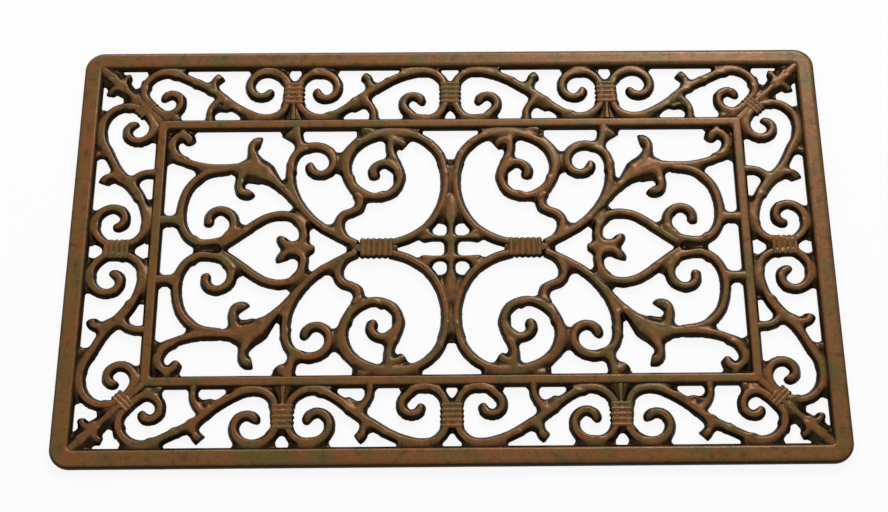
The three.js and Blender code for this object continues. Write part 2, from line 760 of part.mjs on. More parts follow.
const quarter_pieces = {
  middle_scroll: without(barsSolid(middleScrollBars()), [
    ...frames, ...quarter, mid_collar_cutter, bay_collar_cutter, bayCutter(1),
  ]),
  corner_scroll: without(barsSolid(cornerScrollBars()), [
    ...frames, bay_collar_cutter, corner_collar_cutter, bayCutter(-1), diagonalCutter(-1),
  ]),
  side_scroll: without(barsSolid(sideScrollBars()), [
    ...frames, ...quarter, side_collar_cutter, corner_collar_cutter, diagonalCutter(1),
  ]),
  corner_finial: without(barsSolid(finialBars()), [
    rim_cutter, corner_scroll_cutter, side_scroll_cutter, corner_collar_cutter,
  ]),
  ring_scroll: without(barsSolid(ringBars()), [...frames, ...quarter, centre_collar_cutter]),
  arch_scroll: without(barsSolid(archBars()), [...frames, ...quarter, centre_collar_cutter, ring_cutter]),
  tulip_branch: without(barsSolid(tulipBars()), [...frames, arch_cutter]),
  heart_scroll: without(barsSolid(heartBars()), [...frames, ...quarter, tulip_cutter]),
  bay_collar: collarSolid(bay_collar).add(without(barSolid(bayGussetBar(), false), [rail_cutter])),
  corner_collar: collarSolid(corner_collar).add(
    without(barSolid(cornerGussetBar(), false), [rail_cutter]),
  ),
};

function spineSolid() {
  const cutters = [1, -1].flatMap((sideX) => [1, -1].map((sideY) => (
    joined(ringBars().map((bar) => barSolid(mirroredBar(bar, sideX, sideY), true)))
  )));
  return without(barsSolid(spineBars()), cutters);
}

function trefoilSolid() {
  const nose = {
    points: trefoil_nose_shares.map(fieldPoint),
    width: bar_width,
    widthShares: trefoil_nose_width_shares,
  };
  const bars = [1, -1].flatMap((sideY) => trefoilBars().map((bar) => mirroredBar(bar, 1, sideY)));
  const others = [1, -1].flatMap((sideY) => [
    joined(archBars().map((bar) => barSolid(mirroredBar(bar, 1, sideY), true))),
    joined(heartBars().map((bar) => barSolid(mirroredBar(bar, 1, sideY), true))),
  ]);
  return without(barsSolid([nose, ...bars]), others);
}

// Scene graph
const mat = new THREE.Group();
const casting = new THREE.Group();
casting.position.z = stud_stand;
mat.add(casting);

function addPiece(name, geometry, material) {
  const mesh = new THREE.Mesh(geometry, material);
  mesh.name = name;
  geometry.computeVertexNormals();
  casting.add(mesh);
}

// Mirrored copy of a piece, with its faces turned back to point out
function mirroredGeometry(solid, sideX, sideY) {
  const geometry = geometryFrom(solid).scale(sideX, sideY, 1);
  if (sideX * sideY < 0) {
    const order = geometry.index.array;
    for (let face = 0; face < order.length; face += 3) {
      [order[face + 1], order[face + 2]] = [order[face + 2], order[face + 1]];
    }
  }
  return geometry;
}

addPiece('outer_rim', geometryFrom(rimSolid()), iron);
addPiece('inner_rail', geometryFrom(railSolid()), iron);

const quarters = [['back_right', 1, 1], ['back_left', -1, 1], ['front_left', -1, -1], ['front_right', 1, -1]];
Object.entries(quarter_pieces).forEach(([piece, solid]) => {
  quarters.forEach(([corner, sideX, sideY]) => {
    addPiece(`${piece}_${corner}`, mirroredGeometry(solid, sideX, sideY), iron);
  });
});

[['back', 1], ['front', -1]].forEach(([end, side]) => {
  addPiece(`mid_collar_${end}`, mirroredGeometry(collarSolid(mid_collar), 1, side), iron);
});
[['right', 1], ['left', -1]].forEach(([end, side]) => {
  addPiece(`side_collar_${end}`, mirroredGeometry(collarSolid(side_collar), side, 1), iron);
  addPiece(`centre_collar_${end}`, mirroredGeometry(collarSolid(centre_collar), side, 1), iron);
  addPiece(`trefoil_${end}`, mirroredGeometry(trefoilSolid(), side, 1), iron);
});
addPiece('centre_spine', geometryFrom(spineSolid()), iron);

studPlaces().forEach(([place, x, y]) => {
  addPiece(`rubber_stud_${place}`, studGeometry().translate(x, y, 0), rubber);
});

export default mat;
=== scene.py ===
"""Cast iron door mat: the castings, their worn brown finish and a plain stage, in metres."""

import math

import bmesh
import bpy
import numpy as np
from bpy.props import FloatProperty, FloatVectorProperty, IntProperty, PointerProperty
from mathutils import Euler, Matrix, Vector


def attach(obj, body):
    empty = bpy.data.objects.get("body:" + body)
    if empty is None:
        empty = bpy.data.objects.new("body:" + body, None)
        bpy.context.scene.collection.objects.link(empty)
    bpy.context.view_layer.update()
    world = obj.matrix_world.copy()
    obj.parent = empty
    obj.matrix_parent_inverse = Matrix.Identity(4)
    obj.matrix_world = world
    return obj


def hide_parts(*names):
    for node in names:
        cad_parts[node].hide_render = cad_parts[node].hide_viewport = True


bl_info = {
    "name": "Cast iron door mat",
    "version": (1, 0, 0),
    "blender": (4, 5, 0),
    "location": "View3D > Sidebar > Door mat",
    "description": "Builds the scrolled castings of a cast iron door mat and their worn finish",
    "category": "Add Mesh",
}

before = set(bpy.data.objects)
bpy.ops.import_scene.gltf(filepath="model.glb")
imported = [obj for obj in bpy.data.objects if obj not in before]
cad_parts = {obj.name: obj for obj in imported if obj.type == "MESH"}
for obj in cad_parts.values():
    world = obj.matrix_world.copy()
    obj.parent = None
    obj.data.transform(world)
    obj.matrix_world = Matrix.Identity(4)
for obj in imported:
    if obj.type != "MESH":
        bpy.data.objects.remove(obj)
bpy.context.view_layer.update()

BODY = "root"
EPSILON = 1e-9

# Outline shares of the border scrolls: along the bay, then across the band from rail to rim
MIDDLE_STEM = [
    (0.228, 0.032), (0.167, -0.01), (0.105, 0.025), (0.059, 0.126), (0.036, 0.294), (0.038, 0.697),
    (0.06, 0.822), (0.1, 0.912), (0.148, 0.95), (0.21, 0.943), (0.34, 0.832), (0.463, 0.63),
    (0.568, 0.437), (0.673, 0.202), (0.728, 0.109), (0.778, 0.05), (0.83, 0.03), (0.883, 0.059),
    (0.936, 0.16), (0.968, 0.311), (0.972, 0.496), (0.963, 0.697),
]
MIDDLE_UP_LEAF = [(0.49, 0.597), (0.519, 0.697), (0.529, 0.815), (0.562, 0.885)]
MIDDLE_DOWN_LEAF = [(0.556, 0.429), (0.519, 0.294), (0.491, 0.16), (0.485, 0.0), (0.485, -0.08)]
CORNER_STEM = [
    (0.033, 0.496), (0.035, 0.311), (0.054, 0.155), (0.093, 0.063), (0.141, 0.033), (0.196, 0.064),
    (0.312, 0.277), (0.418, 0.571), (0.524, 0.765), (0.625, 0.921), (0.675, 0.946), (0.725, 0.903),
    (0.766, 0.782), (0.786, 0.613), (0.778, 0.462), (0.748, 0.328),
]
CORNER_UP_LEAF = [(0.41, 0.529), (0.42, 0.647), (0.417, 0.77), (0.384, 0.885)]
CORNER_DOWN_LEAF = [(0.363, 0.445), (0.408, 0.328), (0.431, 0.176), (0.433, 0.0), (0.433, -0.08)]

# Outline shares of the side scrolls: across the band from rail to rim, then along the side
SIDE_STEM = [
    (0.521, 0.027), (0.319, 0.034), (0.168, 0.062), (0.089, 0.106), (0.076, 0.154), (0.156, 0.25),
    (0.345, 0.346), (0.622, 0.43), (0.824, 0.538), (0.92, 0.594), (0.952, 0.654), (0.922, 0.714),
    (0.82, 0.76), (0.665, 0.786), (0.487, 0.792), (0.336, 0.776),
]
SIDE_OUTER_LEAF = [(0.53, 0.39), (0.68, 0.4), (0.82, 0.39), (0.868, 0.358)]
SIDE_INNER_LEAF = [(0.403, 0.346), (0.311, 0.389), (0.168, 0.413), (-0.08, 0.418)]

# Outline shares of the corner finials: distances in from the rim's inner corner
FINIAL_STEM = [
    (0.672, 0.672), (0.529, 0.525), (0.395, 0.39), (0.261, 0.256), (0.126, 0.122), (0.0, 0.0),
    (-0.05, -0.05),
]
FINIAL_STEM_WIDTHS = [0.8, 0.85, 0.8, 1.0, 1.15, 1.0, 0.9]
FINIAL_WEB_WIDTHS = [0.7, 0.9, 1.4, 2.0, 2.3, 1.6, 1.4]
FINIAL_LEFT_PETAL = [(0.415, 0.42), (0.365, 0.265), (0.41, 0.15), (0.483, 0.115)]
FINIAL_RIGHT_PETAL = [(0.42, 0.415), (0.265, 0.365), (0.15, 0.41), (0.118, 0.515)]

# Outline shares of the field ornament: half the field's length, then half its width
RING_STEM = [
    (0.215, 0.036), (0.15, 0.081), (0.085, 0.173), (0.042, 0.308), (0.0195, 0.47), (0.0185, 0.615),
    (0.041, 0.792), (0.096, 0.918), (0.174, 0.969), (0.265, 0.948), (0.34, 0.851), (0.368, 0.684),
    (0.341, 0.517), (0.267, 0.426), (0.202, 0.472), (0.178, 0.576), (0.182, 0.654), (0.197, 0.725),
]
RING_NECK = [(0.186, 0.669), (0.197, 0.725), (0.211, 0.818), (0.211, 0.944)]
RING_HOOK = [(0.197, 0.684), (0.225, 0.714), (0.256, 0.701), (0.273, 0.647), (0.262, 0.572)]
RING_LEAF = [(0.215, 0.914), (0.178, 0.89), (0.158, 0.859)]
LINK = [
    (0.331, 0.461), (0.317, 0.394), (0.322, 0.335), (0.345, 0.303), (0.371, 0.281), (0.388, 0.23),
    (0.388, 0.164), (0.373, 0.089),
]
ARCH_STEM = [(0.324, 0.03), (0.401, 0.115), (0.474, 0.222), (0.533, 0.379), (0.564, 0.572)]
ARCH_POST = [(0.531, 0.803), (0.538, 0.885), (0.544, 0.952), (0.549, 1.04)]
ARCH_LEAF = [(0.545, 0.981), (0.571, 0.967), (0.585, 0.926)]
TULIP_BODY = [
    (0.523, 0.32), (0.557, 0.424), (0.593, 0.506), (0.629, 0.586), (0.672, 0.658), (0.711, 0.682),
    (0.746, 0.68),
]
TULIP_BODY_WIDTHS = [0.9, 0.9, 0.95, 1.2, 2.1, 2.55, 1.4]
TULIP_UPPER_PETAL = [(0.685, 0.729), (0.703, 0.803), (0.703, 0.866), (0.688, 0.905), (0.67, 0.9)]
TULIP_LOWER_PETAL = [
    (0.728, 0.654), (0.741, 0.58), (0.744, 0.513), (0.734, 0.47), (0.713, 0.463), (0.703, 0.487),
]
TULIP_STEM = [
    (0.725, 0.68), (0.78, 0.678), (0.836, 0.68), (0.889, 0.699), (0.934, 0.732), (0.967, 0.781),
    (0.986, 0.848), (0.984, 0.918), (0.962, 0.962), (0.936, 0.948), (0.925, 0.878),
]
HEART_STEM = [
    (0.78, 0.669), (0.865, 0.63), (0.921, 0.51), (0.943, 0.335), (0.941, 0.245), (0.93, 0.16),
    (0.906, 0.091), (0.872, 0.052),
]
HEART_TIE = [(0.93, 0.243), (0.97, 0.243), (1.03, 0.243)]
HEART_TIE_WIDTHS = (1.5, 1.1, 1.3)
TREFOIL_NOSE = [(0.471, 0.0), (0.502, 0.0), (0.537, 0.0), (0.568, 0.0)]
TREFOIL_NOSE_WIDTHS = [0.7, 1.4, 1.9, 1.3]
TREFOIL_SIDE = [
    (0.521, 0.022), (0.511, 0.082), (0.512, 0.149), (0.525, 0.219), (0.554, 0.268), (0.596, 0.282),
    (0.641, 0.26), (0.683, 0.207), (0.721, 0.143), (0.756, 0.086), (0.794, 0.03),
]
TREFOIL_HOOK = [(0.54, 0.022), (0.568, 0.033), (0.587, 0.063), (0.584, 0.104)]

# Webs that thicken the forks: the same shares, then the web's width and height over a scroll bar's
MIDDLE_WEBS = [([(0.54, 0.3), (0.574, 0.25), (0.615, 0.18)], 0.5, 0.8)]
CORNER_WEBS = [
    ([(0.4, 0.262), (0.37, 0.235), (0.335, 0.21)], 0.6, 0.8),
    ([(0.583, 0.03), (0.628, 0.05)], 0.34, 0.92),
]
SIDE_WEBS = [
    ([(0.24, 0.272), (0.35, 0.318), (0.48, 0.36), (0.62, 0.38)], 0.75, 0.93),
    ([(0.922, 0.542), (0.948, 0.503)], 0.36, 0.8),
]
RING_WEBS = [([(0.272, 0.986), (0.322, 0.986)], 0.34, 0.9)]
TULIP_WEBS = [([(0.935, 0.715), (0.974, 0.75), (1.0, 0.8)], 0.6, 0.8)]

# A web inside the ring, with its height over the rail's, and the fork of the heart, in metres
RING_WEB = [(0.33, 0.93), (0.368, 0.82), (0.382, 0.71), (0.368, 0.585), (0.345, 0.47)]
RING_WEB_WIDTHS = [0.5, 0.75, 0.7, 0.75, 0.5]
RING_WEB_HEIGHT = 0.9
HEART_FORK = [(0.787, 0.01), (0.799, 0.01)]
HEART_FORK_WIDTH = 0.0036
HEART_FORK_HEIGHT = 0.0066

# Ribs on the tulips
TULIP_RIDGES = (
    [(0.632, 0.598), (0.668, 0.682), (0.69, 0.735)],
    [(0.64, 0.592), (0.682, 0.655), (0.722, 0.69)],
    [(0.646, 0.584), (0.69, 0.62), (0.722, 0.64)],
)
RIDGE_WIDTH = 0.0026
RIDGE_WIDTHS = (0.8, 1.0)
RIDGE_RISE = 0.0002

# Width shares of a leaf from its foot to its tip, widths of the finial's petals and of the side's
# inner leaf over other leaves, and how round a bar's foot is over its crown
LEAF_WIDTHS = [1.25, 1.02, 0.95, 1.05, 1.12]
PETAL_SHARE = 0.8
SIDE_INNER_LEAF_SHARE = 1.08
FOOT_ROUNDING = 0.25

# Centre cross and what is cast with the collars: each bar's line in metres, its width, its width
# shares and its height, or None for the height of a scroll bar. The cross is given for its right back
# quarter, the centre collar's wedges from the middle, the border's gussets from the edge of the rail
EVEN = (1.0, 1.0)
SPINE_REACH = 0.058
SPINE_WIDTH = 0.01
SPINE_WIDTHS = [0.2, 1.5, 2.1, 1.0, 1.0, 1.0, 1.0, 1.0, 2.1, 1.5, 0.2]
SPINE_HUB = [([(0.0, -0.009), (0.0, 0.009)], 0.015, EVEN, None)]
SPINE_HALF = [
    ([(-0.027, 0.0111), (0.027, 0.0111)], 0.0074, EVEN, None),
    ([(0.0, 0.074), (0.0, 0.0925)], 0.003, (1.2, 2.2), 0.0066),
]
SPINE_QUARTER = [
    ([(0.0165, 0.0125), (0.026, 0.0175)], 0.0075, EVEN, None),
    ([(0.02, 0.0106), (0.03, 0.0098)], 0.0072, EVEN, 0.0062),
]
CENTRE_WEDGES = [
    ([(0.088, 0.0), (0.0965, 0.0)], 0.02, (1.0, 0.62), 0.0066),
    ([(0.06, 0.0), (0.053, 0.0)], 0.018, (1.0, 0.5), 0.0062),
]
BAY_GUSSETS = [
    ([(0.0, 0.022), (0.0, -0.002)], 0.007, (0.9, 0.9, 1.5), 0.0072),
    ([(0.0, 0.02), (0.0, -0.002)], 0.01, (1.1, 1.8, 3.4), 0.0057),
]
CORNER_GUSSETS = [
    ([(0.024, 0.026), (0.012, 0.0125), (-0.004, -0.004)], 0.011, (0.8, 1.0, 1.3), None),
]

# Collars, in metres: places from the rail or the middle, lengths and numbers of bands, the core
# inside the bands and its shares, and how fine and even the skin is
CORNER_COLLAR_PLACE = 0.013
CORNER_COLLAR_LENGTH = 0.013
SIDE_COLLAR_PLACE = 0.032
CENTRE_COLLAR_PLACE = 0.074
CENTRE_COLLAR_LENGTH = 0.034
CENTRE_COLLAR_WIDTH = 0.025
BORDER_BANDS = 5
CORNER_BANDS = 3
CENTRE_BANDS = 6
CORE_INSET = 0.006
CORE_END = 0.002
CORE_HEIGHT = 0.005
CORE_CROWN = 0.86
CORE_EDGE = 0.12
COLLAR_SKIN_SHARE = 0.65
COLLAR_SOFTEN = 2

# Rim and rail, in metres: how far in and how far down each top edge is worn off, the rounding of the
# section and its steps, the radii of the corners outside and inside, and where the rail's drift
# starts and how soon it is full
RIM_OUTER_EDGE = (0.0036, 0.0024)
RIM_INNER_EDGE = (0.0042, 0.004)
RAIL_EDGE = (0.003, 0.0034)
RIM_ROUNDING = 0.0014
RAIL_ROUNDING = 0.0012
RIM_INNER_CORNER = 0.0025
RAIL_CORNERS = (0.003, 0.002)
RAIL_DRIFT_RAMP = (0.2, 0.08)
SECTION_STEP = 0.0012
SECTION_CORNER = (0.0, 0.33, 0.67, 1.0)
LOFT_STEP = 0.0025
CORNER_STEPS = 10

# Radii and heights of a rubber stud, whose shank sits in the iron
STUD_PROFILE = [
    (0.0, 0.0), (0.0056, 0.0), (0.0061, 0.00015), (0.0064, 0.0005), (0.0065, 0.0009),
    (0.0065, 0.00185), (0.003, 0.00185), (0.003, 0.0055), (0.0026, 0.0056), (0.0, 0.0056),
]
STUD_INSET = 0.016
STUD_SIDES = 48

# Volutes: centre shares, start and end radius as shares of the border's width or of half the field's,
# start angle and turn in degrees, and how early the radius falls
MIDDLE_LOW_CURL = ((0.226, 0.303), 0.205, 0.075, -60, 254, 2.2)
MIDDLE_HIGH_CURL = ((0.814, 0.586), 0.406, 0.064, 41, 338, 0.9)
CORNER_LOW_CURL = ((0.155, 0.621), 0.43, 0.08, 172, -347, 0.93)
CORNER_HIGH_CURL = ((0.655, 0.36), 0.249, 0.028, -37, -299, 3.1)
SIDE_LOW_CURL = ((0.601, 0.154), 0.438, 0.07, -76, 364, 0.81)
SIDE_HIGH_CURL = ((0.365, 0.661), 0.332, 0.046, 123, 350, 1.16)
ARCH_CURL = ((0.47, 0.707), 0.206, 0.044, -11, 392, 0.89)
HEART_CURL = ((0.816, 0.233), 0.191, 0.043, -81, -326, 0.72)

# How many steps a volute's turn, a line between two points, a rounded edge and a band's section have
CURL_STEPS_PER_TURN = 12
LINE_SAMPLES = 24
EDGE_POINTS = 4
BAND_SIDES = 14

# How many nodes of a tree stand in a row, and how far apart
NODES_IN_ROW = 8
NODE_SPACING = (220, -260)

# Places where the inner corners stay tight: centre shares, radius and fillet there
MIDDLE_QUIET = [
    ((0.225, 0.306), 0.012, 0.0018), ((0.814, 0.586), 0.012, 0.002), ((0.722, 0.36), 0.012, 0.001),
    ((0.901, 0.529), 0.008, 0.001), ((0.525, 0.983), 0.006, 0.0008), ((0.0, 0.88), 0.009, 0.0014),
    ((0.0, 0.06), 0.009, 0.0018), ((0.667, 0.04), 0.006, 0.0022), ((0.912, 0.76), 0.007, 0.001),
    ((0.371, 0.95), 0.006, 0.0008),
]
CORNER_QUIET = [
    ((0.155, 0.621), 0.012, 0.002), ((0.652, 0.345), 0.013, 0.0018), ((0.383, 0.966), 0.006, 0.0008),
    ((0.718, 0.42), 0.01, 0.0002), ((0.09, 0.521), 0.009, 0.001), ((0.423, 0.333), 0.008, 0.0006),
    ((0.591, 0.655), 0.009, 0.0008), ((0.534, 0.945), 0.007, 0.0012), ((0.327, 0.06), 0.006, 0.0014),
]
SIDE_QUIET = [
    ((0.601, 0.154), 0.012, 0.002), ((0.365, 0.661), 0.012, 0.0018), ((0.235, 0.202), 0.011, 0.001),
    ((0.345, 0.725), 0.009, 0.0008), ((0.034, 0.264), 0.006, 0.0022), ((0.655, 0.095), 0.011, 0.0008),
    ((0.94, 0.37), 0.008, 0.0004),
]
FINIAL_QUIET = [((0.44, 0.08), 0.01, 0.0003), ((0.08, 0.44), 0.01, 0.0003)]
FIELD_QUIET = [
    ((0.706, 0.485), 0.007, 0.001), ((0.958, 0.885), 0.011, 0.0007), ((0.682, 0.86), 0.005, 0.0018),
    ((0.47, 0.707), 0.012, 0.0022), ((0.815, 0.235), 0.012, 0.0024), ((0.55, 0.11), 0.008, 0.0018),
    ((0.674, 0.962), 0.008, 0.0008), ((0.518, 0.722), 0.009, 0.001), ((0.601, 0.618), 0.01, 0.0008),
    ((0.762, 0.0), 0.009, 0.0006), ((0.082, 0.962), 0.006, 0.0018), ((0.243, 0.637), 0.009, 0.0008),
    ((0.181, 0.829), 0.008, 0.0012), ((0.293, 0.532), 0.012, 0.0004), ((0.737, 0.07), 0.008, 0.001),
    ((0.835, 0.122), 0.01, 0.0004), ((0.0, 0.715), 0.01, 0.001), ((0.479, 0.158), 0.006, 0.0016),
]

# How the skin wears and where painted shade darkens it: the share of the rim's height where the worn
# tops start, the slope where a bright worn top starts over the painted shade of the sides and the span
# over which it grows, how fast it grows with height and what is taken off, the bend of a full crease of
# painted shade over the skin's facets, and how slope and bend are evened out
WEAR_FLOOR = 0.5
WEAR_AND_SHADE_SLOPE = (0.57, 0.3)
WEAR_HEIGHT = (1.15, 0.08)
CREASE_SHADE_BEND = 0.1
EVENING_PASSES = 6
BEND_EVENING = 0.5
SLOPE_EVENING = 0.4

# Where a bar runs into the rim or rail beside it, in metres, and the web that joins them there
CONTACT_GAP = (-0.008, 0.0022)
CONTACT_SLOPE = 0.5
CONTACT_LEAST = 0.005
CONTACT_DEPTH = 0.003
CONTACT_POINTS = 5
CONTACT_TAPER = [0.75, 1.0, 1.0, 0.75]
CONTACT_HEIGHT = 0.97
END_ALLOWANCE = 0.002

# The fewest points of a hidden stretch, the share of the skin below which a loose bit is dropped, and
# how strongly each pass softens the skin
GUIDE_LEAST_POINTS = 4
CRUMB_SHARE = 0.05
SOFTEN_FACTOR = 0.5

# Copies of a casting: the ending of the node's name and how the casting is mirrored
QUARTERS = (("back_right", 1, 1), ("back_left", -1, 1), ("front_left", -1, -1), ("front_right", 1, -1))
ENDS = (("right", 1, 1), ("left", -1, 1))
SIDES = (("back", 1, 1), ("front", 1, -1))

# Finish: scale, limits and seed of the warm, olive and dirty patches and of the floor's clouds
IRON_PATCHES = ((26.0, 0.46, 0.6, 2.0), (34.0, 0.48, 0.64, 7.0), (120.0, 0.5, 0.72, 4.0))
FLOOR_PATCHES = (3.0, 0.3, 0.7, 1.0)

# Finish: how far the dirt covers the tops and the grain frays the edge between worn tops and sides in
# painted shade, the sizes and bumps of the grain, the rubber's speckle and the iron's specular
DIRT_SHARE = 0.5
FRAY_SHARE = 0.5
IRON_GRAIN = {"Grain scale": 850.0, "Swell scale": 170.0}
RUBBER_GRAIN = {"Grain scale": 1400.0, "Swell scale": 400.0}
IRON_BUMP = {"Strength": 0.35, "Distance": 0.0005}
RUBBER_BUMP = {"Strength": 0.3, "Distance": 0.0002}
RUBBER_SPECK = (0.03, 0.028, 0.026)
IRON_SPECULAR = 0.3

# Finish: the limits of a mask and the two values that they stand for
WEAR_AND_SHADE_RANGE = (0.25, 0.85, 0.0, 1.0)
CREASE_SHADE_RANGE = (0.15, 0.9, 0.0, 0.85)
SPECKLE_RANGE = (0.3, 0.7, 0.72, 1.18)
METAL_RANGE = (0.0, 0.8, 0.85, 0.2)
IRON_ROUGHNESS = (0.3, 0.8, 0.26, 0.42)
RUBBER_ROUGHNESS = (0.3, 0.8, 0.7, 0.9)

# Stage: the lamps with their places, sizes and powers, and how bright the camera sees what is bare
LAMPS = (
    ("Key lamp", (0.72, 2.25, 2.1), 0.9, "key"), ("Fill lamp", (-1.6, -0.7, 2.0), 2.0, "fill"),
    ("Edge lamp", (-0.5, 2.6, 1.3), 0.7, "edge"),
)
WHITE = (1.0, 1.0, 1.0, 1.0)
FLOOR_REACH = 4.0
FLOOR_CLOUD = (0.84, 0.84, 0.84)
FLOOR_GLOW = 0.88
SEEN_WORLD = 0.95
SENSOR_WIDTH = 36.0


def length_property(name, description, default):
    return FloatProperty(
        name=name, description=description, default=default, subtype="DISTANCE", unit="LENGTH"
    )


def colour_property(name, description, default):
    return FloatVectorProperty(
        name=name, description=description, default=default, size=3, min=0.0, max=1.0, subtype="COLOR"
    )


def share_property(name, description, default, most=1.0):
    return FloatProperty(
        name=name, description=description, default=default, subtype="FACTOR", min=0.0, max=most
    )


def power_property(name, description, default):
    return FloatProperty(name=name, description=description, default=default, unit="POWER")


class MatSizes(bpy.types.PropertyGroup):
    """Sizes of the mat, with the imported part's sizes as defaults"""

    length: length_property("Length", "Overall length of the rim", 0.762)
    width: length_property("Width", "Overall width of the rim", 0.457)
    stand: length_property("Stand", "Height of the iron above the floor", 0.002)
    rim_width: length_property("Rim width", "Width of the outer rim", 0.0205)
    rim_height: length_property("Rim height", "Thickness of the outer rim", 0.008)
    rim_corner: length_property("Rim corner", "Radius of the rim's outer corners", 0.02)
    band: length_property("Border band", "Clear width between rim and rail", 0.0595)
    rail_width: length_property("Rail width", "Width of the inner rail", 0.0134)
    rail_height: length_property("Rail height", "Thickness of the inner rail", 0.0074)
    rail_drift: length_property("Rail drift", "How far the rail's short sides stand outwards", 0.0009)
    bar_width: length_property("Bar width", "Width of a scroll bar at its foot", 0.0129)
    bar_height: length_property("Bar height", "Thickness of a scroll bar", 0.0072)
    leaf_width: length_property("Leaf width", "Width of a leaf at its foot", 0.0114)
    link_width: length_property("Link width", "Width of the links between ring and arch", 0.0132)
    web_height: length_property("Web height", "Thickness of the low webs between raised parts", 0.0048)
    tip_length: length_property("Tip length", "Length of a volute's swelling end", 0.018)
    leaf_tip_length: length_property("Leaf tip length", "Length over which a leaf grows thin", 0.016)
    collar_pitch: length_property("Collar pitch", "Distance between the border's collars", 0.162)
    collar_width: length_property("Collar width", "Width of a border collar", 0.0258)
    collar_length: length_property("Collar length", "Length of a border collar", 0.027)


class CastingMake(bpy.types.PropertyGroup):
    """How the castings are modelled"""

    crown: share_property("Crown share", "Width of a bar's crown over its foot", 0.42)
    edge: share_property("Edge share", "Rounding of a bar's edges over its half width", 0.28)
    step: length_property("Sweep step", "Distance between the sections of a bar", 0.0015)
    voxel: length_property("Skin size", "Size of the facets of the cast skin", 0.001)
    fillet: length_property("Fillet", "Radius that fills the inner corners where bars meet", 0.0036)
    fillet_blend: length_property("Fillet blend", "Distance over which the fillet grows", 0.006)
    film: length_property("Film", "Half the thickness of the thinnest web that stays", 0.0007)
    guide_width: length_property("Guide width", "Width of the hidden bars in rim and rail", 0.007)
    guide_height: length_property("Guide height", "Height of the hidden bars in rim and rail", 0.0052)
    guide_inset: length_property("Guide inset", "Depth of a hidden stretch in its neighbour", 0.0005)
    soften: IntProperty(name="Soften", description="Passes that even out the skin", default=3, min=0)
    unevenness: length_property("Unevenness", "Depth of the casting's hollows", 0.00025)
    nose_reach: share_property("Nose reach", "Length of a rounded end over the bar's width", 0.4)
    nose_width: share_property("Nose width", "Width of a rounded end over the bar's width", 0.45)
    tip_width: share_property("Tip width", "Width at a tip over the bar's width", 1.15, 2.0)
    tip_height: share_property("Tip height", "Height left at a tip", 0.84)


class MatColours(bpy.types.PropertyGroup):
    """Colours of the worn brown finish, and the painted shade of its sides and creases"""

    crown: colour_property("Crown", "Worn tops of the bars", (0.172, 0.074, 0.0145))
    warm: colour_property("Warm crown", "Redder patches on the tops", (0.192, 0.07, 0.016))
    olive: colour_property("Olive crown", "Duller green-brown patches", (0.118, 0.075, 0.0145))
    # Near-black sides: painted shade on the walls of the bars; the dirt patches on the tops also take
    # this colour
    side: colour_property("Side", "Sides of the bars", (0.03, 0.0165, 0.0068))
    # Near-black creases: painted shade in concave corners and grooves
    hollow: colour_property("Hollow", "Deep corners", (0.011, 0.0072, 0.0045))
    rubber: colour_property("Rubber", "Studs underneath", (0.012, 0.011, 0.011))
    floor: colour_property("Floor", "Pale floor", (0.86, 0.86, 0.86))


class MatView(bpy.types.PropertyGroup):
    """Camera and light"""

    place: FloatVectorProperty(
        name="Camera",
        description="Place of the camera",
        default=(0.0043, -0.7717, 1.6017),
        subtype="XYZ",
        unit="LENGTH",
    )
    turn: FloatVectorProperty(
        name="Camera turn",
        description="Rotation of the camera",
        default=(math.radians(25.5424), math.radians(-0.2657), math.radians(-0.5828)),
        subtype="EULER",
        unit="ROTATION",
    )
    lens: FloatProperty(
        name="Lens", description="Focal length in millimetres", default=72.075, unit="CAMERA"
    )
    shift: FloatProperty(
        name="Shift",
        description="Sideways shift of the lens, in widths of the frame",
        default=-0.03,
        subtype="FACTOR",
    )
    key: power_property("Key", "Power of the high lamp behind", 50.0)
    fill: power_property("Fill", "Power of the large side lamp", 8.0)
    edge: power_property("Edge", "Power of the low lamp behind", 14.0)
    sky: share_property("Sky", "Strength of the world's light", 0.5, 2.0)


def sizes():
    return bpy.context.scene.mat_sizes


def make():
    return bpy.context.scene.casting_make


def window():
    """Half length and half width inside the rim"""
    s = sizes()
    return s.length / 2 - s.rim_width, s.width / 2 - s.rim_width


def rail_reach():
    half_length, half_width = window()
    return half_length - sizes().band, half_width - sizes().band


def field_reach():
    half_length, half_width = rail_reach()
    return half_length - sizes().rail_width, half_width - sizes().rail_width


# Places in the border and the field, from shares
def middle_point(share):
    return sizes().collar_pitch * share[0], rail_reach()[1] + share[1] * sizes().band


def corner_point(share):
    pitch = sizes().collar_pitch
    return pitch + share[0] * (window()[0] - pitch), rail_reach()[1] + share[1] * sizes().band


def side_point(share):
    return rail_reach()[0] + share[0] * sizes().band, share[1] * window()[1]


def finial_point(share):
    return window()[0] - share[0] * sizes().band, window()[1] - share[1] * sizes().band


def field_point(share):
    return share[0] * field_reach()[0], share[1] * field_reach()[1]


def placed(shares, place):
    return [place(share) for share in shares]


def curl_points(curl, place, reach):
    """Points of a volute that winds in from its stem"""
    centre_share, start, end, angle, turn, ease = curl
    centre = np.array(place(centre_share))
    steps = max(4, math.ceil(abs(turn) / 360 * CURL_STEPS_PER_TURN))
    points = []
    for step in range(steps + 1):
        share = step / steps
        radius = (start + (end - start) * share**ease) * reach
        way = math.radians(angle + turn * share)
        points.append(tuple(centre + radius * np.array((math.cos(way), math.sin(way)))))
    return points


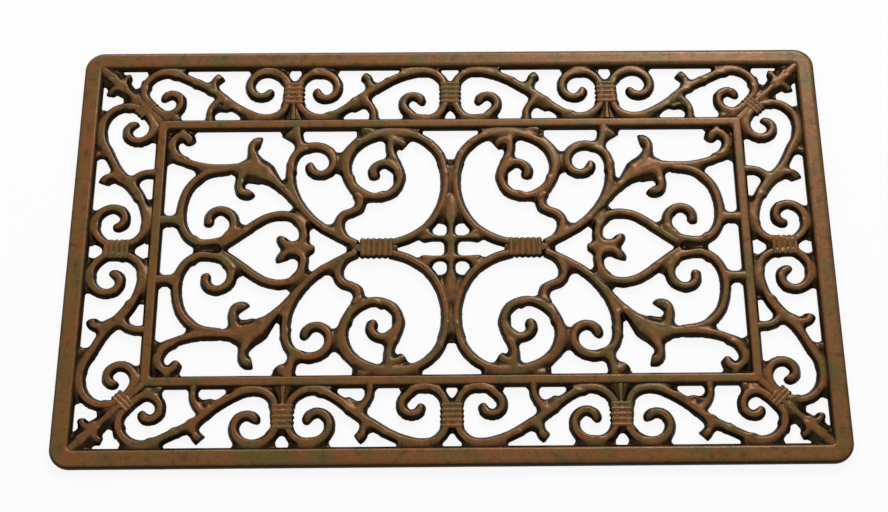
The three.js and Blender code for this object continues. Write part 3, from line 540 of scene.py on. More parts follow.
def smooth_line(points, step):
    """Centripetal Catmull-Rom line through the points, cut to even steps"""
    knots = np.array(points, float)
    ends = np.vstack([2 * knots[0] - knots[1], knots, 2 * knots[-1] - knots[-2]])
    line = []
    for place in range(len(knots) - 1):
        p0, p1, p2, p3 = ends[place : place + 4]
        t0 = 0.0
        t1 = t0 + max(np.linalg.norm(p1 - p0), EPSILON) ** 0.5
        t2 = t1 + max(np.linalg.norm(p2 - p1), EPSILON) ** 0.5
        t3 = t2 + max(np.linalg.norm(p3 - p2), EPSILON) ** 0.5
        for t in np.linspace(t1, t2, LINE_SAMPLES, endpoint=False):
            a1 = (t1 - t) / (t1 - t0) * p0 + (t - t0) / (t1 - t0) * p1
            a2 = (t2 - t) / (t2 - t1) * p1 + (t - t1) / (t2 - t1) * p2
            a3 = (t3 - t) / (t3 - t2) * p2 + (t - t2) / (t3 - t2) * p3
            b1 = (t2 - t) / (t2 - t0) * a1 + (t - t0) / (t2 - t0) * a2
            b2 = (t3 - t) / (t3 - t1) * a2 + (t - t1) / (t3 - t1) * a3
            line.append((t2 - t) / (t2 - t1) * b1 + (t - t1) / (t2 - t1) * b2)
    line.append(knots[-1])
    line = np.array(line)
    run = np.concatenate([[0.0], np.cumsum(np.linalg.norm(np.diff(line, axis=0), axis=1))])
    count = max(2, round(run[-1] / step))
    even = np.linspace(0.0, run[-1], count + 1)
    return np.column_stack([np.interp(even, run, line[:, 0]), np.interp(even, run, line[:, 1])]), even


def bar(
    points, width, widths=EVEN, heights=EVEN, height=None,
    tips=(False, False), tip_length=None, nose=True,
):
    """One bar of the ornament: its line, its width and height shares along it, and its shaped tips"""
    return {
        "points": points, "width": width, "widths": widths, "heights": heights,
        "height": height or sizes().bar_height, "tips": tips,
        "tip_length": tip_length or sizes().tip_length, "nose": nose,
    }


def leaf(shares, place, width, nose=False):
    """A bar that swells at its foot and ends in a tip"""
    tip_length = sizes().leaf_tip_length
    points = placed(shares, place)
    return bar(points, width, LEAF_WIDTHS, tips=(False, True), tip_length=tip_length, nose=nose)


def quiet_spots(place, spots):
    """Places, radii and fillets of the inner corners that stay tight"""
    return [(*place(share), radius, least) for share, radius, least in spots]


def plain(shares, place, width):
    return bar(placed(shares, place), width)


def webs(rows, place):
    """Low webs that thicken the forks"""
    width, height = sizes().bar_width, sizes().bar_height
    return [
        bar(placed(shares, place), width * width_share, height=height * height_share)
        for shares, width_share, height_share in rows
    ]


def along(share, values):
    """Evenly spread values, read off at shares of the way"""
    return np.interp(share, np.linspace(0, 1, len(values)), values)


def tip_shares(distance, reach, end):
    """Shares that run from the one at the bar's end to 1"""
    inside = np.clip(distance / reach, 0.0, 1.0)
    return end + (1.0 - end) * np.sin(inside * math.pi / 2)


def rounded_end(distance, width):
    """Width shares that round a free end off, down to a blunt nose"""
    away = 1.0 - np.clip(distance / (make().nose_reach * width), 0.0, 1.0)
    return np.maximum(np.sqrt(1.0 - away**2), make().nose_width)


def laid_bar(spec):
    """The bar's line at even steps, with its half width and its height at each step"""
    line, run = smooth_line(spec["points"], make().step)
    share = run / run[-1]
    width = spec["width"] * along(share, spec["widths"])
    height = spec["height"] * along(share, spec["heights"])
    reach = min(spec["tip_length"], run[-1])
    for is_tip, distance in zip(spec["tips"], (run, run[-1] - run)):
        if is_tip:
            width = width * tip_shares(distance, reach, make().tip_width)
            if spec["nose"]:
                width = width * rounded_end(distance, width)
            height = height * tip_shares(distance, reach, make().tip_height)
    return line, run, width / 2, height


def store(mesh, name, values):
    """Keeps one number for each point of the mesh"""
    attribute = mesh.attributes.new(name, "FLOAT", "POINT")
    attribute.data.foreach_set("value", np.array(values, np.float32))


def bar_lines_mesh(name, bars):
    """A mesh of edges only, one line for each bar, with its half width and its rise at each point"""
    places, edges, halves, rises = [], [], [], []
    for spec in bars:
        line, _, half, height = laid_bar(spec)
        first = len(places)
        places += [(x, y, sizes().stand) for x, y in line]
        edges += [(first + i, first + i + 1) for i in range(len(line) - 1)]
        halves += list(half)
        rises += list(height)
    mesh = bpy.data.meshes.new(name)
    mesh.from_pydata(places, edges, [])
    store(mesh, "half_width", halves)
    store(mesh, "rise", rises)
    return mesh


class Nodes:
    """Adds nodes to a tree in rows and fills their inputs with values or with other nodes' outputs"""

    def __init__(self, tree):
        self.tree = tree
        self.count = 0

    def add(self, kind, inputs=None, label="", **settings):
        node = self.tree.nodes.new(kind)
        row, column = divmod(self.count, NODES_IN_ROW)
        node.location = (NODE_SPACING[0] * column, NODE_SPACING[1] * row)
        node.label = label
        self.count += 1
        for key, value in settings.items():
            setattr(node, key, value)
        for key, value in (inputs or {}).items():
            if isinstance(value, bpy.types.NodeSocket):
                self.join(value, node.inputs[key])
            else:
                node.inputs[key].default_value = value
        return node

    def join(self, source, target):
        self.tree.links.new(source, target)

    def out(self, kind, inputs=None, label="", **settings):
        """Adds a node and gives its first output"""
        return self.add(kind, inputs, label, **settings).outputs[0]

    def math(self, operation, first, second):
        return self.out("ShaderNodeMath", {0: first, 1: second}, operation=operation)

    def vector(self, x=0.0, y=0.0, z=0.0):
        return self.out("ShaderNodeCombineXYZ", {"X": x, "Y": y, "Z": z})

    def place_parts(self):
        """The X, Y and Z of each point's place"""
        place = self.out("GeometryNodeInputPosition")
        return self.add("ShaderNodeSeparateXYZ", {"Vector": place}).outputs

    def stored(self, name):
        return self.out("GeometryNodeInputNamedAttribute", {"Name": name}, data_type="FLOAT")

    def trapezoid(self, bottom, top, height, label):
        sides = {"Bottom Width": bottom, "Top Width": top, "Height": height, "Offset": 0.0}
        return self.out("GeometryNodeCurvePrimitiveQuadrilateral", sides, label, mode="TRAPEZOID")

    def rounded(self, curve, radius):
        inputs = {"Curve": curve, "Count": EDGE_POINTS, "Radius": radius}
        return self.out("GeometryNodeFilletCurve", inputs, "Round the edges", mode="POLY")

    def moved(self, geometry, label, **change):
        return self.out("GeometryNodeSetPosition", {"Geometry": geometry, **change}, label)

    def finish(self, geometry, material, output):
        """Ends a geometry tree with Realize Instances and Set Material"""
        real = self.out("GeometryNodeRealizeInstances", {"Geometry": geometry})
        painted = self.out("GeometryNodeSetMaterial", {"Geometry": real, "Material": material})
        self.add("NodeGroupOutput", {output: painted})
        return self.tree


def new_tree(name, kind, inputs, outputs):
    """Starts a node group with named sockets: its node maker and what its inputs give out"""
    tree = bpy.data.node_groups.new(name, kind)
    for in_out, sockets in (("INPUT", inputs), ("OUTPUT", outputs)):
        for label, value_kind, default in sockets:
            socket = tree.interface.new_socket(
                name=label, in_out=in_out, socket_type="NodeSocket" + value_kind
            )
            if default is not None:
                socket.default_value = default
    n = Nodes(tree)
    return n, n.add("NodeGroupInput").outputs


def made_once(library, name, maker):
    """The library's item of this name, made at its first use"""
    return library.get(name) or maker(name)


def input_key(tree, name):
    sockets = tree.interface.items_tree
    return next(item.identifier for item in sockets if item.in_out == "INPUT" and item.name == name)


def cast_bar_tree(name):
    """Sweeps a section along each line of the mesh: a rounded crown over a foot cut upright"""
    inputs = (
        ("Lines", "Geometry", None), ("Crown share", "Float", 0.42), ("Edge share", "Float", 0.28),
        ("Foot width", "Float", 2.7), ("Stand", "Float", 0.002), ("Material", "Material", None),
    )
    n, given = new_tree(name, "GeometryNodeTree", inputs, [("Bars", "Geometry", None)])
    crown = n.math("MULTIPLY", given["Crown share"], 2.0)
    section = n.trapezoid(given["Foot width"], crown, 1.0, "Section")
    is_crown = n.math("GREATER_THAN", n.place_parts()["Y"], 0.0)
    roundness = n.math("ADD", n.math("MULTIPLY", is_crown, 1 - FOOT_ROUNDING), FOOT_ROUNDING)
    outline = n.rounded(section, n.math("MULTIPLY", roundness, given["Edge share"]))
    flat = n.place_parts()
    inside = n.math("MAXIMUM", n.math("MINIMUM", flat["X"], 1.0), -1.0)
    trimmed = n.moved(outline, "Upright foot", Position=n.vector(inside, flat["Y"]))
    turn = {"Translation": (0.0, -0.5, 0.0), "Rotation": (0.0, 0.0, math.pi)}
    profile = n.out("GeometryNodeTransform", {"Geometry": trimmed, **turn}, "Foot down, crown up")
    half = n.stored("half_width")
    curve = n.out("GeometryNodeMeshToCurve", {"Mesh": given["Lines"]}, "Lines of the bars")
    upright = n.out("GeometryNodeSetCurveNormal", {"Curve": curve}, "Upright sections", mode="Z_UP")
    sweep = {"Curve": upright, "Profile Curve": profile, "Scale": half, "Fill Caps": True}
    swept = n.out("GeometryNodeCurveToMesh", sweep, "Sweep")
    point = n.place_parts()
    above = n.math("SUBTRACT", point["Z"], given["Stand"])
    height = n.math("MULTIPLY", n.math("DIVIDE", above, half), n.stored("rise"))
    place = n.vector(point["X"], point["Y"], n.math("ADD", height, given["Stand"]))
    return n.finish(n.moved(swept, "Bar height", Position=place), given["Material"], "Bars")


def uneven_tree(name):
    """Pushes the cast skin inwards by slow noise, as sand casting leaves it"""
    inputs = (
        ("Skin", "Geometry", None), ("Depth", "Float", 0.0002), ("Scale", "Float", 90.0),
        ("Seed", "Float", 1.0), ("Material", "Material", None),
    )
    n, given = new_tree(name, "GeometryNodeTree", inputs, [("Skin", "Geometry", None)])
    waves = {"W": given["Seed"], "Scale": given["Scale"], "Detail": 3.0}
    noise = n.out("ShaderNodeTexNoise", waves, "Slow hollows", noise_dimensions="4D")
    inward = n.math("MULTIPLY", n.math("MULTIPLY", noise, given["Depth"]), -1.0)
    normal = n.out("GeometryNodeInputNormal")
    push = n.out("ShaderNodeVectorMath", {"Vector": normal, "Scale": inward}, operation="SCALE")
    return n.finish(n.moved(given["Skin"], "Push in", Offset=push), given["Material"], "Skin")


def collar_tree(name):
    """A row of round bands across a core block"""
    inputs = (
        ("Core", "Geometry", None), ("Length", "Float", 0.027), ("Width", "Float", 0.023),
        ("Rise", "Float", 0.008), ("Bands", "Int", 5), ("Taper", "Float", 0.9),
        ("Corner radius", "Float", 0.0014), ("Stand", "Float", 0.002), ("Material", "Material", None),
    )
    n, given = new_tree(name, "GeometryNodeTree", inputs, [("Collar", "Geometry", None)])
    pitch = n.math("DIVIDE", given["Length"], given["Bands"])
    radius = n.math("MULTIPLY", pitch, 0.5)
    half_row = n.math("MULTIPLY", given["Length"], -0.5)
    middle = n.math("MULTIPLY", given["Rise"], 0.5)
    start = n.vector(n.math("ADD", half_row, radius), 0.0, n.math("ADD", middle, given["Stand"]))
    row = {"Count": given["Bands"], "Start Location": start, "Offset": n.vector(pitch)}
    places = n.out("GeometryNodeMeshLine", row, "Places of the bands", mode="OFFSET")
    thickness = n.math("MULTIPLY", radius, 2.0)
    wide = n.math("SUBTRACT", given["Width"], thickness)
    top = n.math("MULTIPLY", wide, given["Taper"])
    tall = n.math("SUBTRACT", given["Rise"], thickness)
    loop = n.rounded(n.trapezoid(wide, top, tall, "Band's line"), given["Corner radius"])
    ring = {"Resolution": BAND_SIDES, "Radius": radius}
    wire = n.out("GeometryNodeCurvePrimitiveCircle", ring, "Band's section", mode="RADIUS")
    band = n.out("GeometryNodeCurveToMesh", {"Curve": loop, "Profile Curve": wire})
    turn = {"Geometry": band, "Rotation": (math.pi / 2, 0.0, math.pi / 2)}
    stood = n.out("GeometryNodeTransform", turn, "Stand the band across the stems")
    bands = n.out("GeometryNodeInstanceOnPoints", {"Points": places, "Instance": stood})
    both = n.add("GeometryNodeJoinGeometry", {"Geometry": given["Core"]})
    n.join(bands, both.inputs["Geometry"])
    return n.finish(both.outputs["Geometry"], given["Material"], "Collar")


def linked_object(name, mesh):
    obj = bpy.data.objects.new(name, mesh)
    bpy.context.scene.collection.objects.link(obj)
    return obj


def baked_mesh(obj, name):
    """The object's evaluated mesh as plain data, without its modifiers"""
    bpy.context.view_layer.update()
    graph = bpy.context.evaluated_depsgraph_get()
    mesh = bpy.data.meshes.new_from_object(obj.evaluated_get(graph), depsgraph=graph)
    mesh.name = name
    base = obj.data
    bpy.data.objects.remove(obj)
    bpy.data.meshes.remove(base)
    return mesh


def add_nodes(obj, name, maker, values):
    """Puts a geometry tree on the object, with the iron finish and these values of its inputs"""
    modifier = obj.modifiers.new(name, "NODES")
    modifier.node_group = made_once(bpy.data.node_groups, name, maker)
    values = {**values, "Material": made_once(bpy.data.materials, "Worn iron", iron_material)}
    for key, value in values.items():
        modifier[input_key(modifier.node_group, key)] = value


def skinned_mesh(mesh, name, voxel, passes=0):
    """One closed skin round the mesh, evened out in some passes"""
    obj = linked_object(name, mesh)
    skin = obj.modifiers.new("Cast skin", "REMESH")
    skin.mode = "VOXEL"
    skin.voxel_size = voxel
    skin.use_smooth_shade = True
    if passes:
        soft = obj.modifiers.new("Round corners", "SMOOTH")
        soft.factor = SOFTEN_FACTOR
        soft.iterations = passes
    return baked_mesh(obj, name)


def point_array(mesh, key):
    """The places or the normals of the mesh's points, one row for each"""
    values = np.zeros(len(mesh.vertices) * 3)
    mesh.vertices.foreach_get(key, values)
    return values.reshape(-1, 3)


def edge_pairs(mesh):
    pairs = np.zeros(len(mesh.edges) * 2, int)
    mesh.edges.foreach_get("vertices", pairs)
    return pairs.reshape(-1, 2)


def push_out(mesh, share, quiet, more=0.0):
    """Moves the skin along its normals by a share of the fillet, by less near the quiet places"""
    place = point_array(mesh, "co")
    fillet = make().fillet
    distance = np.full(len(place), fillet)
    for x, y, radius, least in quiet:
        away = np.hypot(place[:, 0] - x, place[:, 1] - y)
        inside = np.clip((away - radius) / make().fillet_blend, 0.0, 1.0)
        distance = np.minimum(distance, least + (fillet - least) * inside * inside * (3 - 2 * inside))
    place += point_array(mesh, "normal") * (distance * share + more)[:, None]
    mesh.vertices.foreach_set("co", place.ravel())
    mesh.update()


def filleted(mesh, name, quiet):
    """Grows and shrinks the skin, which fills its sharp inner corners"""
    mesh = skinned_mesh(mesh, name, make().voxel)
    push_out(mesh, 1.0, quiet)
    mesh = skinned_mesh(mesh, name, make().voxel)
    push_out(mesh, -1.0, quiet, -make().film)
    mesh = without_crumbs(skinned_mesh(mesh, name, make().voxel))
    push_out(mesh, 0.0, quiet, make().film)
    return mesh


def without_crumbs(mesh):
    """Drops the loose bits that a film leaves behind"""
    first, second = edge_pairs(mesh).T
    label = np.arange(len(mesh.vertices))
    while True:
        low = np.minimum(label[first], label[second])
        before = label.copy()
        np.minimum.at(label, before[first], low)
        np.minimum.at(label, before[second], low)
        label = label[label]
        if np.array_equal(before, label):
            break
    names, counts = np.unique(label, return_counts=True)
    small = np.isin(label, names[counts < CRUMB_SHARE * len(label)])
    if not small.any():
        return mesh
    body = bmesh.new()
    body.from_mesh(mesh)
    body.verts.ensure_lookup_table()
    bmesh.ops.delete(body, geom=[body.verts[i] for i in np.flatnonzero(small)], context="VERTS")
    body.to_mesh(mesh)
    body.free()
    return mesh


def stretches(mask):
    """First and last place of each unbroken stretch of the mask"""
    starts = np.flatnonzero(mask & ~np.concatenate([[False], mask[:-1]]))
    ends = np.flatnonzero(mask & ~np.concatenate([mask[1:], [False]]))
    return zip(starts, ends)


def frame_edges():
    """Straight edges that a bar can run into: axis, place, the way into the iron, and where it ends"""
    window_x, window_y = window()
    rail_x, rail_y = rail_reach()
    field_x, field_y = field_reach()
    return (
        (0, window_x, 1, math.inf), (1, window_y, 1, math.inf), (0, rail_x, -1, rail_y),
        (1, rail_y, -1, rail_x), (0, field_x, 1, field_y), (1, field_y, 1, field_x),
    )


def contact_bars(bars):
    """Webs that run a bar into the rim or rail that it passes close beside"""
    webs = []
    for spec in bars:
        line, run, half, _ = laid_bar(spec)
        way = np.gradient(line, axis=0)
        way /= np.linalg.norm(way, axis=1)[:, None]
        for axis, place, inward, reach in frame_edges():
            gap = (place - line[:, axis]) * inward - half
            close = (gap > CONTACT_GAP[0]) & (gap < CONTACT_GAP[1])
            close &= np.abs(way[:, axis]) < CONTACT_SLOPE
            close &= line[:, 1 - axis] < reach + END_ALLOWANCE
            for start, end in stretches(close):
                if run[end] - run[start] < CONTACT_LEAST:
                    continue
                kept = line[start : end + 1].copy()
                target = place + inward * CONTACT_DEPTH
                halves = np.abs(target - kept[:, axis])
                kept[:, axis] = (kept[:, axis] + target) / 2
                shares = np.linspace(0, 1, CONTACT_POINTS)
                points = [tuple(kept[round(share * (len(kept) - 1))]) for share in shares]
                height = sizes().bar_height * CONTACT_HEIGHT
                webs.append(bar(points, 1.0, along(shares, halves), CONTACT_TAPER, height))
    return webs


def frame_guides():
    """Low bars inside the rim and rail, along their straight edges"""
    inset = make().guide_width / 2
    guides = []
    for (reach_x, reach_y), way in ((window(), 1), (rail_reach(), -1), (field_reach(), 1)):
        x, y = reach_x + way * inset, reach_y + way * inset
        for line in ([(0.0, y), (reach_x, y)], [(x, 0.0), (x, reach_y)]):
            guides.append(bar(line, make().guide_width, height=make().guide_height))
    return guides


def flipped(bars, side_x, side_y):
    """The bars of a neighbour on the other side of a middle line"""
    return [{**spec, "points": [(x * side_x, y * side_y) for x, y in spec["points"]]} for spec in bars]


def guide_bars(bars, neighbours):
    """Hidden stretches of what lies close by, so that the fillets run out onto it"""
    own = [laid_bar(spec) for spec in bars]
    guides = []
    slim = make().guide_inset
    for spec in neighbours:
        line, _, half, height = laid_bar(spec)
        near = np.zeros(len(line), bool)
        for own_line, _, own_half, _ in own:
            apart = np.linalg.norm(line[:, None] - own_line[None], axis=2) - own_half[None]
            near |= (apart.min(axis=1) - half) < 2 * make().fillet
        for start, end in stretches(near):
            if end - start < GUIDE_LEAST_POINTS:
                continue
            points = [tuple(point) for point in line[start : end + 1 : 2]]
            widths = 2 * (half[start : end + 1] - slim)
            guides.append(bar(points, 1.0, widths, height[start : end + 1] - slim, 1.0))
    return guides


def swept_bars(name, bars, crown, edge):
    """An object with the bars' lines, and the tree that sweeps them"""
    obj = linked_object(name, bar_lines_mesh(name + "_lines", bars))
    values = {"Crown share": crown, "Edge share": edge, "Stand": sizes().stand}
    add_nodes(obj, "Cast bar", cast_bar_tree, values)
    return obj


def cast_bars(name, bars, near=(), quiet=()):
    """Closed casting of all the bars, run together with rounded inner corners"""
    whole = bars + contact_bars(bars) + guide_bars(bars, list(near) + frame_guides())
    swept = baked_mesh(swept_bars(name, whole, make().crown, make().edge), name)
    return skinned_mesh(filleted(swept, name, quiet), name, make().voxel, make().soften)


def collar_mesh(name, place, angle, bands, extra=(), length=None, width=None):
    """A banded collar, its core and what is cast with it, turned and set in its place"""
    length = length or sizes().collar_length
    width = width or sizes().collar_width
    line = [(-length / 2 + CORE_END, 0.0), (length / 2 - CORE_END, 0.0)]
    core = swept_bars(name, [bar(line, width - CORE_INSET, height=CORE_HEIGHT)], CORE_CROWN, CORE_EDGE)
    values = {"Length": length, "Width": width, "Rise": sizes().rim_height, "Bands": bands}
    add_nodes(core, "Banded collar", collar_tree, {**values, "Stand": sizes().stand})
    mesh = baked_mesh(core, name)
    mesh.transform(Matrix.Translation((*place, 0.0)) @ Matrix.Rotation(angle, 4, "Z"))
    if extra:
        beside = name + "_extra"
        more = baked_mesh(swept_bars(beside, extra, make().crown, make().edge), beside)
        mesh = joined_mesh([mesh, more], name)
    return without_crumbs(skinned_mesh(mesh, name, make().voxel * COLLAR_SKIN_SHARE, COLLAR_SOFTEN))


def joined_mesh(meshes, name):
    """One mesh from several"""
    whole = bmesh.new()
    for mesh in meshes:
        whole.from_mesh(mesh)
    joined = bpy.data.meshes.new(name)
    whole.to_mesh(joined)
    whole.free()
    for mesh in meshes:
        bpy.data.meshes.remove(mesh)
    return joined


def neighbour_mean(values, edges, counts):
    total = np.zeros_like(values)
    np.add.at(total, edges[:, 0], values[edges[:, 1]])
    np.add.at(total, edges[:, 1], values[edges[:, 0]])
    return total / counts


def evened(values, share, edges, counts):
    return (1 - share) * values + share * neighbour_mean(values, edges, counts)


def wear_and_shade_attributes(mesh):
    """Stores two masks at each point: worn high tops against steep sides that take painted shade, from
    height and slope, and painted shade in concave creases, from bend
    """
    place = point_array(mesh, "co")
    normal = point_array(mesh, "normal")
    edges = edge_pairs(mesh)
    counts = np.maximum(np.bincount(edges.ravel(), minlength=len(place)), 1).astype(float)
    bend = np.zeros(len(place))
    for axis in range(3):
        bend += (neighbour_mean(place[:, axis], edges, counts) - place[:, axis]) * normal[:, axis]
    up = np.clip(normal[:, 2], 0.0, 1.0)
    for _ in range(EVENING_PASSES):
        bend = evened(bend, BEND_EVENING, edges, counts)
        up = evened(up, SLOPE_EVENING, edges, counts)
    top = sizes().stand + sizes().rim_height
    low = sizes().stand + sizes().rim_height * WEAR_FLOOR
    high = np.clip((place[:, 2] - low) / (top - low), 0.0, 1.0)
    steep = np.clip((up - WEAR_AND_SHADE_SLOPE[0]) / WEAR_AND_SHADE_SLOPE[1], 0.0, 1.0)
    # Steep sides get 0 and take the dark side colour, a painted shade; low parts are less worn
    store(mesh, "wear", steep * np.clip(WEAR_HEIGHT[0] * high - WEAR_HEIGHT[1], 0.0, 1.0))
    # Concave creases get up to 1 and are darkened as painted shade
    store(mesh, "hollow", np.clip(bend / (make().voxel * CREASE_SHADE_BEND), 0.0, 1.0))


def smooth_faces(mesh):
    mesh.polygons.foreach_set("use_smooth", [True] * len(mesh.polygons))


def place_casting(mesh, node, seed):
    """Uneven skin, finish and place of one casting, which stands for its CAD node"""
    obj = linked_object(node + "_cast", mesh)
    add_nodes(obj, "Uneven skin", uneven_tree, {"Depth": make().unevenness, "Seed": float(seed)})
    final = baked_mesh(obj, node + "_cast")
    smooth_faces(final)
    wear_and_shade_attributes(final)
    piece = linked_object(node + "_cast", final)
    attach(piece, BODY)
    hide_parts(node)


def place_copies(copies, *castings):
    """Mirrored copies of castings, each a mesh, a piece and a seed, each copy with its own unevenness"""
    for number, (ending, side_x, side_y) in enumerate(copies):
        for mesh, piece, seed in castings:
            node = f"{piece}_{ending}"
            copy = mesh.copy()
            copy.name = node
            copy.transform(Matrix.Diagonal((side_x, side_y, 1.0, 1.0)))
            if side_x * side_y < 0:
                copy.flip_normals()
            place_casting(copy, node, seed + number)
    for mesh, _, _ in castings:
        bpy.data.meshes.remove(mesh)


def rounded_ring(inset, radius, rise):
    """Rounded rectangle at a distance in from the mat's edge, with points along its straights too"""
    spans = sizes().length, sizes().width
    reach_x = spans[0] / 2 - inset - radius
    reach_y = spans[1] / 2 - inset - radius
    points = []
    for quarter, (side_x, side_y) in enumerate(((1, 1), (-1, 1), (-1, -1), (1, -1))):
        for step in range(CORNER_STEPS + 1):
            angle = (quarter + step / CORNER_STEPS) * math.pi / 2
            x = side_x * reach_x + math.cos(angle) * radius
            y = side_y * reach_y + math.sin(angle) * radius
            points.append((x, y))
        span = spans[quarter % 2]
        way_x, way_y = (0, -side_y) if quarter % 2 else (-side_x, 0)
        straight = span - 2 * inset - 2 * radius
        pieces = round(span / LOFT_STEP)
        x, y = points[-1]
        for step in range(1, pieces):
            points.append((x + way_x * straight * step / pieces, y + way_y * straight * step / pieces))
    return [(x, y, sizes().stand + rise) for x, y in points]


def frame_mesh(name, section, outer_radius, inner_radius):
    """A frame lofted round its own section, a loop of insets and heights"""
    insets = [inset for inset, _ in section]
    span = max(insets) - min(insets)
    rings = []
    for inset, rise in section:
        share = (inset - min(insets)) / span
        rings.append(rounded_ring(inset, outer_radius + (inner_radius - outer_radius) * share, rise))
    count = len(rings[0])
    faces = []
    for row in range(len(rings)):
        here, after = row * count, ((row + 1) % len(rings)) * count
        for side in range(count):
            following = (side + 1) % count
            faces.append((here + side, here + following, after + following, after + side))
    return plain_mesh(name, [point for ring in rings for point in ring], faces)


def plain_mesh(name, places, faces):
    mesh = bpy.data.meshes.new(name)
    mesh.from_pydata(places, [], faces)
    mesh.update()
    return mesh


def worn_section(inset, width, height, outer, inner, rounding):
    """Section of a frame, its top edges worn off, rounded and cut to even steps"""
    corners = [
        (inset, 0.0), (inset, height - outer[1]), (inset + outer[0], height),
        (inset + width - inner[0], height), (inset + width, height - inner[1]), (inset + width, 0.0),
    ]
    points = []
    for place in range(len(corners)):
        before, here, after, last = (
            np.array(corners[(place + away) % len(corners)], float) for away in (-1, 0, 1, 2)
        )
        lengths = [np.linalg.norm(way) for way in (here - before, after - here, last - after)]
        in_way = (here - before) / lengths[0]
        out_way = (after - here) / lengths[1]
        reach = min(rounding, lengths[0] / 3, lengths[1] / 3)
        start, end = here - in_way * reach, here + out_way * reach
        for share in SECTION_CORNER:
            points.append((1 - share) ** 2 * start + 2 * share * (1 - share) * here + share**2 * end)
        target = after - out_way * min(rounding, lengths[1] / 3, lengths[2] / 3)
        pieces = int(np.linalg.norm(target - end) / SECTION_STEP)
        for step in range(1, pieces):
            points.append(end + (target - end) * step / pieces)
    return [tuple(p) for p in points]


def turned_mesh(name, profile, sides):
    """Closed turned shape from radii and heights"""
    places, faces, rows = [], [], []
    for radius, rise in profile:
        if radius < EPSILON:
            rows.append([len(places)] * sides)
            places.append((0.0, 0.0, rise))
            continue
        rows.append(list(range(len(places), len(places) + sides)))
        for side in range(sides):
            angle = 2 * math.pi * side / sides
            places.append((radius * math.cos(angle), radius * math.sin(angle), rise))
    for low, high in zip(rows, rows[1:]):
        for side in range(sides):
            after = (side + 1) % sides
            faces.append(tuple(dict.fromkeys([low[side], low[after], high[after], high[side]])))
    return plain_mesh(name, places, faces)


def grain_group(name):
    """Cast grain: fine pits and slow swells as a height, and a speckle mask"""
    inputs = (
        ("Vector", "Vector", None), ("Grain scale", "Float", 900.0), ("Swell scale", "Float", 160.0),
        ("Swell share", "Float", 0.6), ("Grain share", "Float", 0.5),
    )
    outputs = (("Height", "Float", None), ("Speckle", "Float", None))
    n, given = new_tree(name, "ShaderNodeTree", inputs, outputs)
    place = {"Vector": given["Vector"]}
    fine = n.out("ShaderNodeTexNoise", {**place, "Scale": given["Grain scale"], "Detail": 4.0})
    slow = n.out("ShaderNodeTexNoise", {**place, "Scale": given["Swell scale"], "Detail": 2.0})
    swell = n.math("MULTIPLY", slow, given["Swell share"])
    height = n.math("ADD", swell, n.math("MULTIPLY", fine, given["Grain share"]))
    n.add("NodeGroupOutput", {"Height": height, "Speckle": fine})
    return n.tree


def patch_group(name):
    """Soft-edged patches: a mask from noise between two limits"""
    inputs = (
        ("Vector", "Vector", None), ("Scale", "Float", 30.0), ("Low", "Float", 0.45),
        ("High", "Float", 0.6), ("Seed", "Float", 0.0),
    )
    n, given = new_tree(name, "ShaderNodeTree", inputs, [("Mask", "Float", None)])
    waves = {"Vector": given["Vector"], "W": given["Seed"], "Scale": given["Scale"], "Detail": 4.0}
    noise = n.out("ShaderNodeTexNoise", waves, noise_dimensions="4D")
    limits = {"Value": noise, "From Min": given["Low"], "From Max": given["High"]}
    mask = n.out("ShaderNodeMapRange", limits, interpolation_type="SMOOTHSTEP")
    n.add("NodeGroupOutput", {"Mask": mask})
    return n.tree


def grouped(n, name, maker, values):
    """What a shader group gives out at the object's own coordinates"""
    place = n.add("ShaderNodeTexCoord").outputs["Object"]
    tree = made_once(bpy.data.node_groups, name, maker)
    return n.add("ShaderNodeGroup", {"Vector": place, **values}, name, node_tree=tree).outputs


def patches(n, scale, low, high, seed):
    values = {"Scale": scale, "Low": low, "High": high, "Seed": seed}
    return grouped(n, "Patches", patch_group, values)["Mask"]


def mix_colour(n, mask, first, second):
    """A colour between two others, each of them a colour's three values or a node's output"""
    pair = [c if isinstance(c, bpy.types.NodeSocket) else (*c, 1.0) for c in (first, second)]
    return n.add("ShaderNodeMix", {0: mask, 6: pair[0], 7: pair[1]}, data_type="RGBA").outputs[2]


def map_range(n, value, limits):
    keys = ("From Min", "From Max", "To Min", "To Max")
    return n.out("ShaderNodeMapRange", {"Value": value, **dict(zip(keys, limits))})


def blank_material(name):
    material = bpy.data.materials.new(name)
    material.use_nodes = True
    material.node_tree.nodes.clear()
    return material, Nodes(material.node_tree)


def finish_surface(n, shader, height, bump):
    """Grain as a bump, and the material's output"""
    n.join(n.out("ShaderNodeBump", {**bump, "Height": height}), shader.inputs["Normal"])
    n.add("ShaderNodeOutputMaterial", {"Surface": shader.outputs["BSDF"]})


